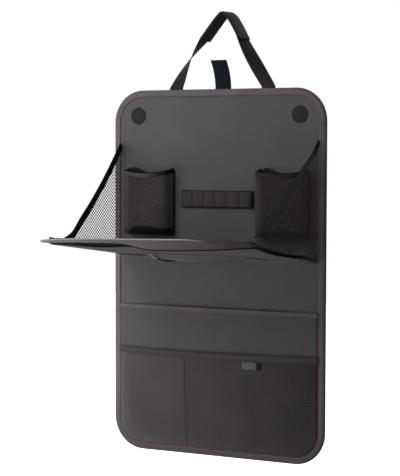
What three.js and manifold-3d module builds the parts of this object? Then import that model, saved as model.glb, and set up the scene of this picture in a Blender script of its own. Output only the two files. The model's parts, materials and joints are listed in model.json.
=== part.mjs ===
// Hanging organiser for the back of a car seat, with a tray that folds down from its middle.
// Millimetres, +Z up. X runs across the panel, and the front of the organiser faces -Y.
// The origin lies on the flat back, on the centre line, half way up the panel.

import * as THREE from 'three';
import { mergeVertices } from 'three/addons/utils/BufferGeometryUtils.js';
import Module from 'manifold-3d';

const wasm = await Module();
wasm.setup();

// Gap kept between pieces that touch in the real object
const GAP = 0.3;

// How far a cutting piece runs past the face that it cuts
const OVERSHOOT = 1;

// Points closer than this are one point
const WELD = 1e-4;

// Back panel: a stiff board between two sheets of cloth, with a bound edge
const PANEL_WIDTH = 400;
const PANEL_HEIGHT = 626;
const PANEL_CORNER = 55;
const LINING_CLOTH = 1.6;
const CORE_BOARD = 2.0;
const FRONT_CLOTH = 1.2;
const CORE_INSET = 14;
const BINDING_WIDTH = 12;
const BINDING_CLOTH = 0.8;
const PANEL_CORNER_STEPS = 5;

// Hook-and-loop dots that hold the tray shut
const DOT_RADIUS = 14.7;
const DOT_THICKNESS = 1.3;
const DOT_FROM_SIDE = 38.1;
const DOT_FROM_FRONT = 19;
const DOT_SIDES = 24;

// Hinge line and tray
const HINGE_HEIGHT = 31;
const HINGE_STANDOFF = 4.5;
const HINGE_STRIP_BELOW = 12;
const HINGE_STRIP_ABOVE = 4;
const TRAY_TILT = 7;
const TRAY_SIDE_CLEARANCE = 9.5;
const TRAY_DEPTH = 257;
const TRAY_CORNER = 22;
const TRAY_CLOTH = 1.2;
const TRAY_BOARD = 2.5;
const FLAP_WIDTH = 25;
const TRAY_BOARD_INSET = 6;
const TRAY_BOARD_CORNER = 3;
const TRAY_BINDING_WIDTH = 9;
const FLAP_PADDING = 2.2;
const FLAP_MARGIN = 5;
const FLAP_CREASE = 1;
const TRAY_CORNER_STEPS = 4;

// Slack pouch under the tray, near the hinge. Its left end is its mouth, and it narrows to the right.
const POUCH_CLOTH = 1.0;
const POUCH_LEFT = -85;
const POUCH_RIGHT = 100;
const POUCH_REACH = 92;
const POUCH_GAPE = 15;
const POUCH_TAPE_WIDTH = 5;
const POUCH_TAPE_CLOTH = 1.8;
const POUCH_COLUMNS = 8;
const POUCH_ROWS = 12;
const POUCH_ROW_CROWDING = 1.6;

// Mesh gussets that hold the tray level
const GUSSET_CLOTH = 0.8;
const GUSSET_RISE = 185.2;
const GUSSET_LIFT = 7;
const GUSSET_EDGE_WIDTH = 9;
const GUSSET_EDGE_THICKNESS = 2.2;
const GUSSET_STEPS = 16;

// Mesh pockets for bottles
const CUP_WIDTH = 86;
const CUP_DEPTH = 30;
const CUP_FLOOR = 64;
const CUP_HEIGHT = 103;
const CUP_CLOTH = 1.2;
const CUP_HEM_HEIGHT = 8;
const CUP_HEM_CLOTH = 1.8;
const CUP_LEFT_MARGIN = 79;
const CUP_RIGHT_MARGIN = 69;

// Elastic for pens
const PEN_STRIP_HEIGHT = 28;
const PEN_STRIP_FLOOR = 113;
const PEN_STRIP_LEFT = -66.7;
const PEN_LOOP_WIDTH = 21.6;
const PEN_LOOPS = 6;
const PEN_STRIP_CLOTH = 0.9;
const PEN_LOOP_BULGE = 3;
const PEN_SEAM_HALF = 1.2;
const PEN_LOOP_FULLNESS = 0.7;
const PEN_LOOP_STEPS = 6;

// Flat cloth pocket below the tray and the mesh pocket in front of it
const POCKET_CLOTH = 1.0;
const POCKET_ROOM = 6;
const MIDDLE_MOUTH = -58.5;
const MIDDLE_HEM_HEIGHT = 7;
const MIDDLE_HEM_CLOTH = 1.8;
const MESH_MOUTH = -131;
const MESH_HEM_HEIGHT = 12;
const MESH_HEM_CLOTH = 1.8;
const DIVIDER_X = -56;
const DIVIDER_WIDTH = 5;
const TAG_LEFT = 47;
const TAG_WIDTH = 34;
const TAG_HEIGHT = 13;
const TAG_CLOTH = 0.8;
const TAG_TAIL = 6.5;
const TAG_DROP = 2;

// Open diamonds of the mesh cloth, shown larger and fewer than the real ones
const FINE_PITCH = 19;
const WIDE_PITCH = 28;
const DIAMOND_SHARE = 0.36;
const GUSSET_BORDER = 5;
const CUP_BORDER = 7;
const MESH_POCKET_BORDER = 8;
const MOUTH_BORDER = 3;

// Webbing that goes round the headrest posts, and the hook tab between its legs
const WEBBING_WIDTH = 25.6;
const WEBBING_CLOTH = 1.2;
const STRAP_TUCK = 11;
const ARCH_LEFT = -78;
const ARCH_RIGHT = 94.4;
const ARCH_RISE = 127;
const ARCH_FOOT = 3;
const STRAP_SPACING = 1.7;
const STRAP_STEPS = 28;
const STRAP_LAST = 20;
const TWIST_STEPS = 7.5;
const PATCH_CLOTH = 0.6;
const TAB_WIDTH = 29.7;
const TAB_X = 11.4;
const TAB_RISE = 48;
const TAB_LEAN = 11;
const TAB_DRIFT = 3;
const TAB_STEPS = 6;

// Worked out from the sizes above
const HALF_HEIGHT = PANEL_HEIGHT / 2;
const PANEL_FRONT = -(LINING_CLOTH + CORE_BOARD + FRONT_CLOTH);
const CORE_MIDDLE = -(LINING_CLOTH + CORE_BOARD / 2);
const HINGE_Y = PANEL_FRONT - HINGE_STANDOFF;
const TRAY_WIDTH = PANEL_WIDTH - 2 * TRAY_SIDE_CLEARANCE;
const TRAY_BOARD_REACH = TRAY_DEPTH - FLAP_WIDTH;
const DOT_SPREAD = TRAY_WIDTH / 2 - DOT_FROM_SIDE;
const DOT_REACH = TRAY_DEPTH - DOT_FROM_FRONT;
const TRAY_TOP_FLANGE = GAP + BINDING_CLOTH;
const TRAY_STACK = 2 * TRAY_CLOTH + TRAY_BOARD + 2 * GAP;
const TILT = THREE.MathUtils.degToRad(TRAY_TILT);
const GUSSET_SPREAD = PANEL_WIDTH / 2 - BINDING_WIDTH - GAP - GUSSET_EDGE_THICKNESS / 2;

// Middle line of the webbing arch across the front, from the left foot to the right foot,
// as [share of its span, share of its rise]
const ARCH = new THREE.CatmullRomCurve3([
  [0, 0], [0.18, 0.398], [0.302, 0.618], [0.377, 0.748], [0.47, 0.882], [0.554, 1], [0.632, 0.941],
  [0.702, 0.827], [0.777, 0.681], [0.87, 0.39], [1, 0],
].map(([across, up]) => new THREE.Vector3(
  ARCH_LEFT + across * (ARCH_RIGHT - ARCH_LEFT), 0, HALF_HEIGHT + ARCH_FOOT + up * ARCH_RISE)));

const cloth = (color, roughness = 0.9) => new THREE.MeshStandardMaterial({ color, roughness, metalness: 0 });
const MATERIALS = {
  panelCloth: cloth(0x4c4c4d),
  liningCloth: cloth(0x3a3a3b),
  edgeTape: cloth(0x6b6567),
  board: cloth(0x8a8378, 0.7),
  darkTape: cloth(0x131315),
  mesh: cloth(0x202022),
  hookTape: cloth(0x1a1b20, 0.95),
  webbing: cloth(0x1d1d1e, 0.8),
  elastic: cloth(0x333031),
  label: cloth(0x7d7d7d),
};

// Gives an indexed geometry outward faces, whichever way its pieces were listed.
function outward(geometry) {
  const { position } = geometry.attributes;
  const corner = [new THREE.Vector3(), new THREE.Vector3(), new THREE.Vector3()];
  const index = geometry.index.array;
  let volume = 0;
  for (let k = 0; k < index.length; k += 3) {
    corner.forEach((point, c) => point.fromBufferAttribute(position, index[k + c]));
    volume += corner[0].dot(corner[1].clone().cross(corner[2]));
  }
  if (volume < 0) {
    for (let k = 0; k < index.length; k += 3) {
      [index[k], index[k + 1]] = [index[k + 1], index[k]];
    }
  }
  geometry.computeVertexNormals();
  return geometry;
}

function toSolid(geometry) {
  const bare = geometry.clone();
  bare.deleteAttribute('normal');
  bare.deleteAttribute('uv');
  const merged = mergeVertices(bare, WELD);
  return new wasm.Manifold(new wasm.Mesh({
    numProp: 3,
    vertProperties: new Float32Array(merged.attributes.position.array),
    triVerts: new Uint32Array(merged.index.array),
  }));
}

function toGeometry(solid) {
  const mesh = solid.getMesh();
  const geometry = new THREE.BufferGeometry();
  geometry.setAttribute('position', new THREE.BufferAttribute(mesh.vertProperties, 3));
  geometry.setIndex(new THREE.BufferAttribute(mesh.triVerts, 1));
  geometry.computeVertexNormals();
  return geometry;
}

function cut(base, ...tools) {
  return toGeometry(tools.reduce((rest, tool) => rest.subtract(toSolid(tool)), toSolid(base)));
}

function join(base, ...more) {
  return toGeometry(more.reduce((sum, piece) => sum.add(toSolid(piece)), toSolid(base)));
}

// Outline with rounded corners, between x0 and x1 across and z0 and z1 up.
function outline(x0, x1, z0, z1, lowRadius, highRadius = lowRadius) {
  const shape = new THREE.Shape();
  const corner = (x, z, radius, start) => {
    if (radius > 0) shape.absarc(x, z, radius, start, start + Math.PI / 2);
    else shape.lineTo(x, z);
  };
  shape.moveTo(x0 + lowRadius, z0);
  corner(x1 - lowRadius, z0 + lowRadius, lowRadius, -Math.PI / 2);
  corner(x1 - highRadius, z1 - highRadius, highRadius, 0);
  corner(x0 + highRadius, z1 - highRadius, highRadius, Math.PI / 2);
  corner(x0 + lowRadius, z0 + lowRadius, lowRadius, Math.PI);
  return shape;
}

// Outline of the panel, drawn in by a margin all round.
function panelOutline(margin) {
  const half = PANEL_WIDTH / 2 - margin;
  return outline(-half, half, -HALF_HEIGHT + margin, HALF_HEIGHT - margin, PANEL_CORNER - margin);
}

// Outline that follows the panel's lower end, drawn in by a margin, up to a level top.
function lowerOutline(margin, top) {
  const half = PANEL_WIDTH / 2 - margin;
  return outline(-half, half, -HALF_HEIGHT + margin, top, PANEL_CORNER - margin, 0);
}

// Upright plate of an outline, from its back face at y = back to its front face at y = front.
function slab(shape, back, front) {
  const settings = { depth: back - front, bevelEnabled: false, curveSegments: PANEL_CORNER_STEPS };
  return new THREE.ExtrudeGeometry(shape, settings).rotateX(Math.PI / 2).translate(0, back, 0);
}

// Flat plate in the tray's own frame: the outline's second direction is the reach from the hinge.
function tray(shape, low, high) {
  const settings = { depth: high - low, bevelEnabled: false, curveSegments: TRAY_CORNER_STEPS };
  return new THREE.ExtrudeGeometry(shape, settings).rotateX(Math.PI).translate(0, 0, high);
}

function box(x0, x1, y0, y1, z0, z1) {
  const geometry = new THREE.BoxGeometry(x1 - x0, y1 - y0, z1 - z0);
  return geometry.translate((x0 + x1) / 2, (y0 + y1) / 2, (z0 + z1) / 2);
}

// Closed sheet: each station has an outer and an inner line, with as many points as each other.
// Both sides are split along the same diagonals, so that a twisted sheet keeps its thickness.
function sheet(stations) {
  const count = stations[0].outer.length;
  const size = 2 * count;
  const points = stations.flatMap(({ outer, inner }) => [...outer, ...[...inner].reverse()]);
  const index = [];
  const quad = (a, b, c, d) => index.push(a, b, c, a, c, d);
  for (let station = 0; station + 1 < stations.length; station++) {
    for (let k = 0; k < size; k++) {
      const a = station * size + k;
      const b = station * size + (k + 1) % size;
      if (k < count) quad(a, b, b + size, a + size);
      else quad(b, b + size, a + size, a);
    }
  }
  const last = (stations.length - 1) * size;
  for (let k = 0; k + 1 < count; k++) {
    const across = size - 1 - k;
    quad(k, across, across - 1, k + 1);
    quad(last + k, last + k + 1, last + across - 1, last + across);
  }
  const geometry = new THREE.BufferGeometry();
  geometry.setAttribute('position', new THREE.Float32BufferAttribute(points.flatMap((p) => p.toArray()), 3));
  geometry.setIndex(index);
  return outward(geometry);
}

// Flat ribbon along its stations, each with a middle, a half width and the direction it faces.
function ribbon(stations, thickness) {
  return sheet(stations.map(({ middle, half, facing }) => {
    const side = (sign) => [-1, 1].map((end) => middle.clone()
      .addScaledVector(half, end).addScaledVector(facing, sign * thickness / 2));
    return { outer: side(1), inner: side(-1) };
  }));
}

// Staggered diamonds of a given pitch whose four corners all pass a test.
function diamonds(x0, x1, y0, y1, pitch, inside) {
  const reach = pitch * DIAMOND_SHARE;
  const found = [];
  const rows = Math.floor((y1 - y0) / (pitch / 2));
  const columns = Math.floor((x1 - x0) / pitch);
  for (let row = 0; row <= rows; row++) {
    for (let column = 0; column <= columns; column++) {
      const x = x0 + (column + (row % 2) / 2) * pitch;
      const y = y0 + row * pitch / 2;
      const corners = [[x + reach, y], [x, y + reach], [x - reach, y], [x, y - reach]];
      if (corners.every(([a, b]) => inside(a, b))) found.push(corners);
    }
  }
  return found;
}

const diamondPath = (corners) => new THREE.Path(corners.map(([x, y]) => new THREE.Vector2(x, y)));
const diamondShape = (corners) => new THREE.Shape(corners.map(([x, y]) => new THREE.Vector2(x, y)));

const organiser = new THREE.Group();
const trayGroup = new THREE.Group();
trayGroup.position.set(0, HINGE_Y, HINGE_HEIGHT);
trayGroup.rotation.x = -TILT;
organiser.add(trayGroup);

function add(name, geometry, material, parent = organiser) {
  const mesh = new THREE.Mesh(geometry, material);
  mesh.name = name;
  parent.add(mesh);
}

// Back panel

function buildPanel() {
  const flange = BINDING_CLOTH + GAP;
  const underFlange = BINDING_WIDTH + GAP;
  add('back_lining', join(
    slab(panelOutline(underFlange), 0, -LINING_CLOTH),
    slab(panelOutline(flange), -flange, -LINING_CLOTH),
  ), MATERIALS.liningCloth);
  const coreFront = -LINING_CLOTH - CORE_BOARD;
  add('core_board', slab(panelOutline(CORE_INSET), -LINING_CLOTH, coreFront), MATERIALS.board);
  add('front_sheet', slab(panelOutline(flange), coreFront, PANEL_FRONT), MATERIALS.panelCloth);

  const slot = (x, width) => box(
    x - width / 2 - GAP, x + width / 2 + GAP,
    CORE_MIDDLE - WEBBING_CLOTH / 2 - GAP, CORE_MIDDLE + WEBBING_CLOTH / 2 + GAP,
    HALF_HEIGHT - BINDING_WIDTH / 2, HALF_HEIGHT + BINDING_CLOTH,
  );
  add('edge_binding', cut(
    slab(panelOutline(0), 0, PANEL_FRONT - flange),
    slab(panelOutline(BINDING_WIDTH), OVERSHOOT, PANEL_FRONT - flange - OVERSHOOT),
    slab(panelOutline(BINDING_CLOTH), -BINDING_CLOTH, PANEL_FRONT - GAP),
    slot(ARCH.points[0].x, WEBBING_WIDTH),
    slot(ARCH.points.at(-1).x, WEBBING_WIDTH),
    slot(TAB_X, TAB_WIDTH),
  ), MATERIALS.edgeTape);
}

function dot() {
  return new THREE.CylinderGeometry(DOT_RADIUS, DOT_RADIUS, DOT_THICKNESS, DOT_SIDES);
}

function buildPanelDots() {
  const y = PANEL_FRONT - DOT_THICKNESS / 2;
  const z = HINGE_HEIGHT + DOT_REACH;
  for (const [side, sign] of [['left', -1], ['right', 1]]) {
    add(`panel_dot_${side}`, dot().translate(sign * DOT_SPREAD, y, z), MATERIALS.hookTape);
  }
}

// The elastic is sewn down at even seams and stands off the panel between them.
function buildPenStrip() {
  const outer = [];
  const inner = [];
  for (let loop = 0; loop < PEN_LOOPS; loop++) {
    const start = PEN_STRIP_LEFT + loop * PEN_LOOP_WIDTH;
    for (let k = 0; k <= PEN_LOOP_STEPS; k++) {
      const share = k / PEN_LOOP_STEPS;
      const rise = PEN_LOOP_BULGE * Math.sin(Math.PI * share) ** PEN_LOOP_FULLNESS;
      const x = start + PEN_SEAM_HALF + share * (PEN_LOOP_WIDTH - 2 * PEN_SEAM_HALF);
      inner.push([x, -rise]);
      outer.push([x, -rise - PEN_STRIP_CLOTH]);
    }
  }
  const shape = new THREE.Shape([...outer, ...inner.reverse()].map(([x, y]) => new THREE.Vector2(x, y)));
  const strip = new THREE.ExtrudeGeometry(shape, { depth: PEN_STRIP_HEIGHT, bevelEnabled: false });
  add('pen_loops', strip.translate(0, PANEL_FRONT, PEN_STRIP_FLOOR), MATERIALS.elastic);
}

// Flat pockets

// Pocket sewn round three sides, with its back open to the layer that carries it.
function flatPocket(back, top, holes = []) {
  const margin = BINDING_WIDTH + GAP;
  const front = back - POCKET_ROOM - POCKET_CLOTH;
  const inner = front + POCKET_CLOTH;
  const room = slab(lowerOutline(margin + POCKET_CLOTH, top + OVERSHOOT), back + OVERSHOOT, inner);
  const openings = holes.map((corners) => slab(diamondShape(corners), inner + OVERSHOOT, front - OVERSHOOT));
  return cut(slab(lowerOutline(margin, top), back, front), room, ...openings);
}

function buildFlatPockets() {
  const margin = BINDING_WIDTH + GAP;
  const half = PANEL_WIDTH / 2 - margin;
  const middleFront = PANEL_FRONT - POCKET_ROOM - POCKET_CLOTH;
  const middleTop = MIDDLE_MOUTH - MIDDLE_HEM_HEIGHT;
  add('middle_pocket', flatPocket(PANEL_FRONT, middleTop), MATERIALS.panelCloth);
  add('middle_pocket_hem', box(-half, half, middleFront + POCKET_CLOTH - MIDDLE_HEM_CLOTH,
    middleFront + POCKET_CLOTH, middleTop, MIDDLE_MOUTH), MATERIALS.edgeTape);

  const meshFront = middleFront - POCKET_ROOM - POCKET_CLOTH;
  const meshTop = MESH_MOUTH - MESH_HEM_HEIGHT;
  const side = half - MESH_POCKET_BORDER;
  const low = -HALF_HEIGHT + margin + MESH_POCKET_BORDER;
  const corner = PANEL_CORNER - margin - MESH_POCKET_BORDER;
  const inside = (x, z) => {
    const overX = Math.max(0, Math.abs(x) - (side - corner));
    const overZ = Math.max(0, low + corner - z);
    const withinCorner = Math.hypot(overX, overZ) < corner;
    return withinCorner && Math.abs(x) < side && z > low && z < meshTop - MOUTH_BORDER;
  };
  const holes = diamonds(-half, half, low, meshTop, WIDE_PITCH, inside);
  add('mesh_pocket', flatPocket(middleFront, meshTop, holes), MATERIALS.mesh);
  add('mesh_pocket_hem', box(-half, half, meshFront + POCKET_CLOTH - MESH_HEM_CLOTH,
    meshFront + POCKET_CLOTH, meshTop, MESH_MOUTH), MATERIALS.darkTape);
  add('pocket_divider', box(
    DIVIDER_X - DIVIDER_WIDTH / 2, DIVIDER_X + DIVIDER_WIDTH / 2,
    meshFront + POCKET_CLOTH + GAP, middleFront,
    -HALF_HEIGHT + margin + POCKET_CLOTH + GAP, meshTop,
  ), MATERIALS.darkTape);

  const tagTop = meshTop - TAG_DROP;
  const tagRight = TAG_LEFT + TAG_WIDTH;
  add('woven_tag', box(TAG_LEFT, tagRight, meshFront - GAP - TAG_CLOTH, meshFront - GAP,
    tagTop - TAG_HEIGHT, tagTop), MATERIALS.label);
  add('tag_loop', box(tagRight + GAP, tagRight + TAG_TAIL, meshFront - GAP - TAG_CLOTH, meshFront - GAP,
    tagTop - TAG_HEIGHT, tagTop), MATERIALS.darkTape);
}

// Bottle pockets

function buildCupPocket(side, middle) {
  const back = PANEL_FRONT + OVERSHOOT;
  const front = PANEL_FRONT - CUP_DEPTH;
  const top = CUP_FLOOR + CUP_HEIGHT;
  const x0 = middle - CUP_WIDTH / 2;
  const x1 = x0 + CUP_WIDTH;
  const firstRow = CUP_FLOOR + CUP_BORDER + MOUTH_BORDER;
  const withinRows = (z) => z > CUP_FLOOR + CUP_BORDER && z < top - MOUTH_BORDER;
  const room = box(
    x0 + CUP_CLOTH, x1 - CUP_CLOTH, front + CUP_CLOTH, back,
    CUP_FLOOR + CUP_CLOTH, top + OVERSHOOT,
  );
  const faceHoles = diamonds(x0, x1, firstRow, top, FINE_PITCH,
    (x, z) => x > x0 + CUP_BORDER && x < x1 - CUP_BORDER && withinRows(z))
    .map((corners) => slab(diamondShape(corners), front + CUP_CLOTH + OVERSHOOT, front - OVERSHOOT));
  const wallHoles = diamonds(-PANEL_FRONT + CUP_DEPTH / 2, -front, firstRow, top, FINE_PITCH,
    (out, z) => out > -PANEL_FRONT + CUP_BORDER && out < -front - CUP_BORDER && withinRows(z))
    .map((corners) => slab(diamondShape(corners), x1 + OVERSHOOT, x0 - OVERSHOOT).rotateZ(-Math.PI / 2));
  const body = box(x0, x1, front, PANEL_FRONT, CUP_FLOOR, top);
  add(`cup_pocket_${side}`, cut(body, room, ...faceHoles, ...wallHoles), MATERIALS.mesh);

  const proud = CUP_HEM_CLOTH - CUP_CLOTH;
  const brim = top + CUP_HEM_HEIGHT;
  add(`cup_hem_${side}`, cut(
    box(x0 - proud, x1 + proud, front - proud, PANEL_FRONT, top, brim),
    box(x0 + CUP_CLOTH, x1 - CUP_CLOTH, front + CUP_CLOTH, back, top - OVERSHOOT, brim + OVERSHOOT),
  ), MATERIALS.darkTape);
}

// Tray

// Outline of the tray in its own frame, drawn in at its sides and front.
function trayOutline(margin, reach = TRAY_DEPTH - margin, start = GAP) {
  const half = TRAY_WIDTH / 2 - margin;
  return outline(-half, half, start, reach, 0, Math.max(TRAY_CORNER - margin, 1));
}

function buildTray() {
  const hem = BINDING_CLOTH + GAP;
  const boardTop = -TRAY_CLOTH - GAP;
  const boardLow = boardTop - TRAY_BOARD;
  const half = TRAY_WIDTH / 2 - TRAY_BOARD_INSET;
  const boardShape = outline(-half, half, FLAP_MARGIN, TRAY_BOARD_REACH, TRAY_BOARD_CORNER);
  const cover = trayOutline(hem);
  const underCover = tray(cover, -TRAY_STACK, -TRAY_STACK + TRAY_CLOTH);
  add('tray_top_cover', tray(cover, -TRAY_CLOTH, 0), MATERIALS.panelCloth, trayGroup);
  add('tray_board', tray(boardShape, boardLow, boardTop), MATERIALS.board, trayGroup);
  add('tray_under_cover', underCover, MATERIALS.panelCloth, trayGroup);

  const padding = trayOutline(FLAP_MARGIN, TRAY_DEPTH - FLAP_MARGIN, TRAY_BOARD_REACH + FLAP_CREASE);
  const paddingMiddle = (boardLow + boardTop) / 2;
  add('flap_padding', tray(padding, paddingMiddle - FLAP_PADDING / 2, paddingMiddle + FLAP_PADDING / 2),
    MATERIALS.liningCloth, trayGroup);

  const window = trayOutline(TRAY_BINDING_WIDTH, TRAY_DEPTH - TRAY_BINDING_WIDTH, 0);
  const fold = trayOutline(BINDING_CLOTH, TRAY_DEPTH - BINDING_CLOTH, 0);
  add('tray_binding', cut(
    tray(trayOutline(0, TRAY_DEPTH, TRAY_BINDING_WIDTH), -TRAY_STACK - TRAY_TOP_FLANGE, TRAY_TOP_FLANGE),
    tray(window, -TRAY_STACK - TRAY_TOP_FLANGE - OVERSHOOT, TRAY_TOP_FLANGE + OVERSHOOT),
    tray(fold, -TRAY_STACK - GAP, GAP),
  ), MATERIALS.edgeTape, trayGroup);

  const dotMiddle = TRAY_TOP_FLANGE + GAP + DOT_THICKNESS / 2;
  for (const [side, sign] of [['left', -1], ['right', 1]]) {
    const disc = dot().rotateX(Math.PI / 2).translate(sign * DOT_SPREAD, -DOT_REACH, dotMiddle);
    add(`tray_dot_${side}`, disc, MATERIALS.hookTape, trayGroup);
  }

  const stripHalf = GUSSET_SPREAD - GUSSET_EDGE_THICKNESS / 2 - GAP;
  add('hinge_strip', box(
    -stripHalf, stripHalf, HINGE_Y + GAP, PANEL_FRONT,
    HINGE_HEIGHT - HINGE_STRIP_BELOW, HINGE_HEIGHT + HINGE_STRIP_ABOVE,
  ), MATERIALS.panelCloth);
}

// How far the pouch hangs below the tray's underside, at a place across and a reach from the hinge:
// most at the mouth and just in front of the hinge, and nothing at its right end and its sewn edges.
function pouchDrop(x, reach) {
  const taper = (POUCH_RIGHT - x) / (POUCH_RIGHT - POUCH_LEFT);
  const share = (reach - FLAP_MARGIN) / (POUCH_REACH - FLAP_MARGIN);
  return POUCH_GAPE * taper * Math.sin(Math.PI * Math.sqrt(share));
}

function buildPouch() {
  const roof = -TRAY_STACK - GAP;
  const line = (x, below) => Array.from({ length: POUCH_ROWS + 1 }, (_, row) => {
    const share = (row / POUCH_ROWS) ** POUCH_ROW_CROWDING;
    const reach = FLAP_MARGIN + share * (POUCH_REACH - FLAP_MARGIN);
    return new THREE.Vector3(x, -reach, roof - pouchDrop(x, reach) - below);
  });
  const station = (x, thickness) => ({ outer: line(x, thickness), inner: line(x, 0) });
  const cloths = Array.from({ length: POUCH_COLUMNS + 1 }, (_, column) =>
    station(POUCH_LEFT + (column / POUCH_COLUMNS) * (POUCH_RIGHT - POUCH_LEFT), POUCH_CLOTH));
  const tapes = [POUCH_LEFT - POUCH_TAPE_WIDTH, POUCH_LEFT - GAP].map((x) => station(x, POUCH_TAPE_CLOTH));
  add('under_pouch', sheet(cloths), MATERIALS.panelCloth, trayGroup);
  add('pouch_mouth_tape', sheet(tapes), MATERIALS.edgeTape, trayGroup);
}

// Gussets

// Each path runs down the open edge as [share of the tray's depth, share of the gusset's rise above
// the tray], and ends lying on the tray.
const GUSSET_PATHS = {
  left: [
    [0.016, 0.989], [0.156, 0.717], [0.311, 0.491], [0.498, 0.227], [0.669, 0.019], [0.747, 0], [0.864, 0],
  ],
  right: [
    [0.016, 1], [0.272, 0.751], [0.525, 0.498], [0.759, 0.247], [0.926, 0.059], [0.988, 0],
  ],
};

// Height of the tray's upper side, above its binding, at a distance in front of the panel's back.
function trayLevel(out) {
  return HINGE_HEIGHT + (out + HINGE_Y) * Math.tan(TILT) + (TRAY_TOP_FLANGE + GAP) / Math.cos(TILT);
}

function buildGusset(side, sign) {
  const path = GUSSET_PATHS[side].map(([reach, rise]) => {
    const out = reach * TRAY_DEPTH;
    return new THREE.Vector3(out, trayLevel(out) + GUSSET_LIFT + rise * GUSSET_RISE, 0);
  });
  const curve = new THREE.CatmullRomCurve3(path);
  const samples = Array.from({ length: GUSSET_STEPS + 1 }, (_, k) => {
    const along = curve.getTangentAt(k / GUSSET_STEPS);
    return { middle: curve.getPointAt(k / GUSSET_STEPS), normal: new THREE.Vector3(-along.y, along.x, 0) };
  });
  const offset = (distance) => samples.map(({ middle, normal }) => {
    const point = middle.clone().addScaledVector(normal, distance);
    return new THREE.Vector2(Math.max(point.x, -PANEL_FRONT), point.y);
  });
  const half = GUSSET_EDGE_WIDTH / 2;
  const upright = new THREE.Matrix4().makeBasis(
    new THREE.Vector3(0, -1, 0), new THREE.Vector3(0, 0, 1), new THREE.Vector3(-1, 0, 0));
  const raise = (shape, depth) => new THREE.ExtrudeGeometry(shape, { depth, bevelEnabled: false })
    .applyMatrix4(upright).translate(sign * GUSSET_SPREAD + depth / 2, 0, 0);

  const band = new THREE.Shape([...offset(half), ...offset(-half).reverse()]);
  add(`gusset_edge_${side}`, raise(band, GUSSET_EDGE_THICKNESS), MATERIALS.darkTape);

  const upper = offset(-half - GAP).filter((point) => point.y > trayLevel(point.x) + GUSSET_CLOTH);
  const foot = upper.at(-1);
  const net = new THREE.Shape([
    new THREE.Vector2(-PANEL_FRONT, upper[0].y),
    ...upper,
    new THREE.Vector2(foot.x, trayLevel(foot.x)),
    new THREE.Vector2(-PANEL_FRONT, trayLevel(-PANEL_FRONT)),
  ]);
  const belowBand = (x, y) => samples.every(({ middle, normal }) => {
    const above = (x - middle.x) * normal.x + (y - middle.y) * normal.y;
    return above < -half - GUSSET_BORDER || Math.abs(x - middle.x) > FINE_PITCH;
  });
  const inside = (x, y) => x > -PANEL_FRONT + GUSSET_BORDER && x < foot.x
    && y > trayLevel(x) + GUSSET_BORDER && belowBand(x, y);
  net.holes = diamonds(-PANEL_FRONT, foot.x, HINGE_HEIGHT, path[0].y, FINE_PITCH, inside).map(diamondPath);
  add(`gusset_mesh_${side}`, raise(net, GUSSET_CLOTH), MATERIALS.mesh);
}

// Straps

// Station of the webbing arch: step 0 is the left foot. The half width turns from across the
// panel at the foot to front-to-back at the top, one way on the left leg and the other on the right.
function archStation(step, turn, lift) {
  const share = step / STRAP_STEPS;
  const middle = ARCH.getPointAt(share).setY(CORE_MIDDLE);
  const along = ARCH.getTangentAt(share);
  const half = new THREE.Vector3(Math.cos(turn), Math.sin(turn), 0).multiplyScalar(WEBBING_WIDTH / 2);
  const facing = along.clone().cross(half).normalize();
  const above = new THREE.Vector3(-along.z, 0, along.x);
  middle.addScaledVector(above, lift * Math.abs(Math.sin(turn)));
  return { middle, half, facing };
}

function strapStations(first, last, sign, lift) {
  const count = Math.abs(last - first);
  const stations = Array.from({ length: count + 1 }, (_, k) => {
    const turn = sign * Math.min(1, k / TWIST_STEPS) * Math.PI / 2;
    return archStation(first + Math.sign(last - first) * k, turn, lift);
  });
  const foot = stations[0];
  const tucked = { ...foot, middle: foot.middle.clone().setZ(HALF_HEIGHT - STRAP_TUCK) };
  return [tucked, ...stations];
}

function buildStraps() {
  const other = STRAP_STEPS - STRAP_LAST;
  const leftLeg = strapStations(0, STRAP_LAST, -1, STRAP_SPACING);
  const rightLeg = strapStations(STRAP_STEPS, other, 1, -STRAP_SPACING);
  add('strap_left', ribbon(leftLeg, WEBBING_CLOTH), MATERIALS.webbing);
  add('strap_right', ribbon(rightLeg, WEBBING_CLOTH), MATERIALS.webbing);
  const patch = (lift) => Array.from({ length: STRAP_LAST - other - 1 },
    (_, k) => archStation(other + 1 + k, Math.PI / 2, lift));
  const patchLift = STRAP_SPACING - WEBBING_CLOTH / 2 - GAP - PATCH_CLOTH / 2;
  add('strap_hook_patch', ribbon(patch(patchLift), PATCH_CLOTH), MATERIALS.hookTape);
  add('strap_loop_patch', ribbon(patch(-patchLift), PATCH_CLOTH), MATERIALS.hookTape);

  const tab = Array.from({ length: TAB_STEPS + 1 }, (_, k) => {
    const share = k / TAB_STEPS;
    const bend = share ** 2;
    const height = HALF_HEIGHT + share * TAB_RISE;
    return {
      middle: new THREE.Vector3(TAB_X - TAB_DRIFT * bend, CORE_MIDDLE - TAB_LEAN * bend, height),
      half: new THREE.Vector3(TAB_WIDTH / 2, 0, 0),
      facing: new THREE.Vector3(0, -1, 0),
    };
  });
  const root = { ...tab[0], middle: tab[0].middle.clone().setZ(HALF_HEIGHT - STRAP_TUCK) };
  add('centre_tab', ribbon([root, ...tab], WEBBING_CLOTH), MATERIALS.hookTape);
}

buildPanel();
buildPanelDots();
buildPenStrip();
buildFlatPockets();
buildCupPocket('left', CUP_LEFT_MARGIN - PANEL_WIDTH / 2);
buildCupPocket('right', PANEL_WIDTH / 2 - CUP_RIGHT_MARGIN);
buildTray();
buildPouch();
buildGusset('left', -1);
buildGusset('right', 1);
buildStraps();

export default organiser;
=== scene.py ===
"""A hanging organiser for a seat back: cloth, tape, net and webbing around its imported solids.

Lengths are in millimetres until a mesh is made. X runs across the panel, the front faces -Y, and Z is up.
"""

import json
import math

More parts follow.
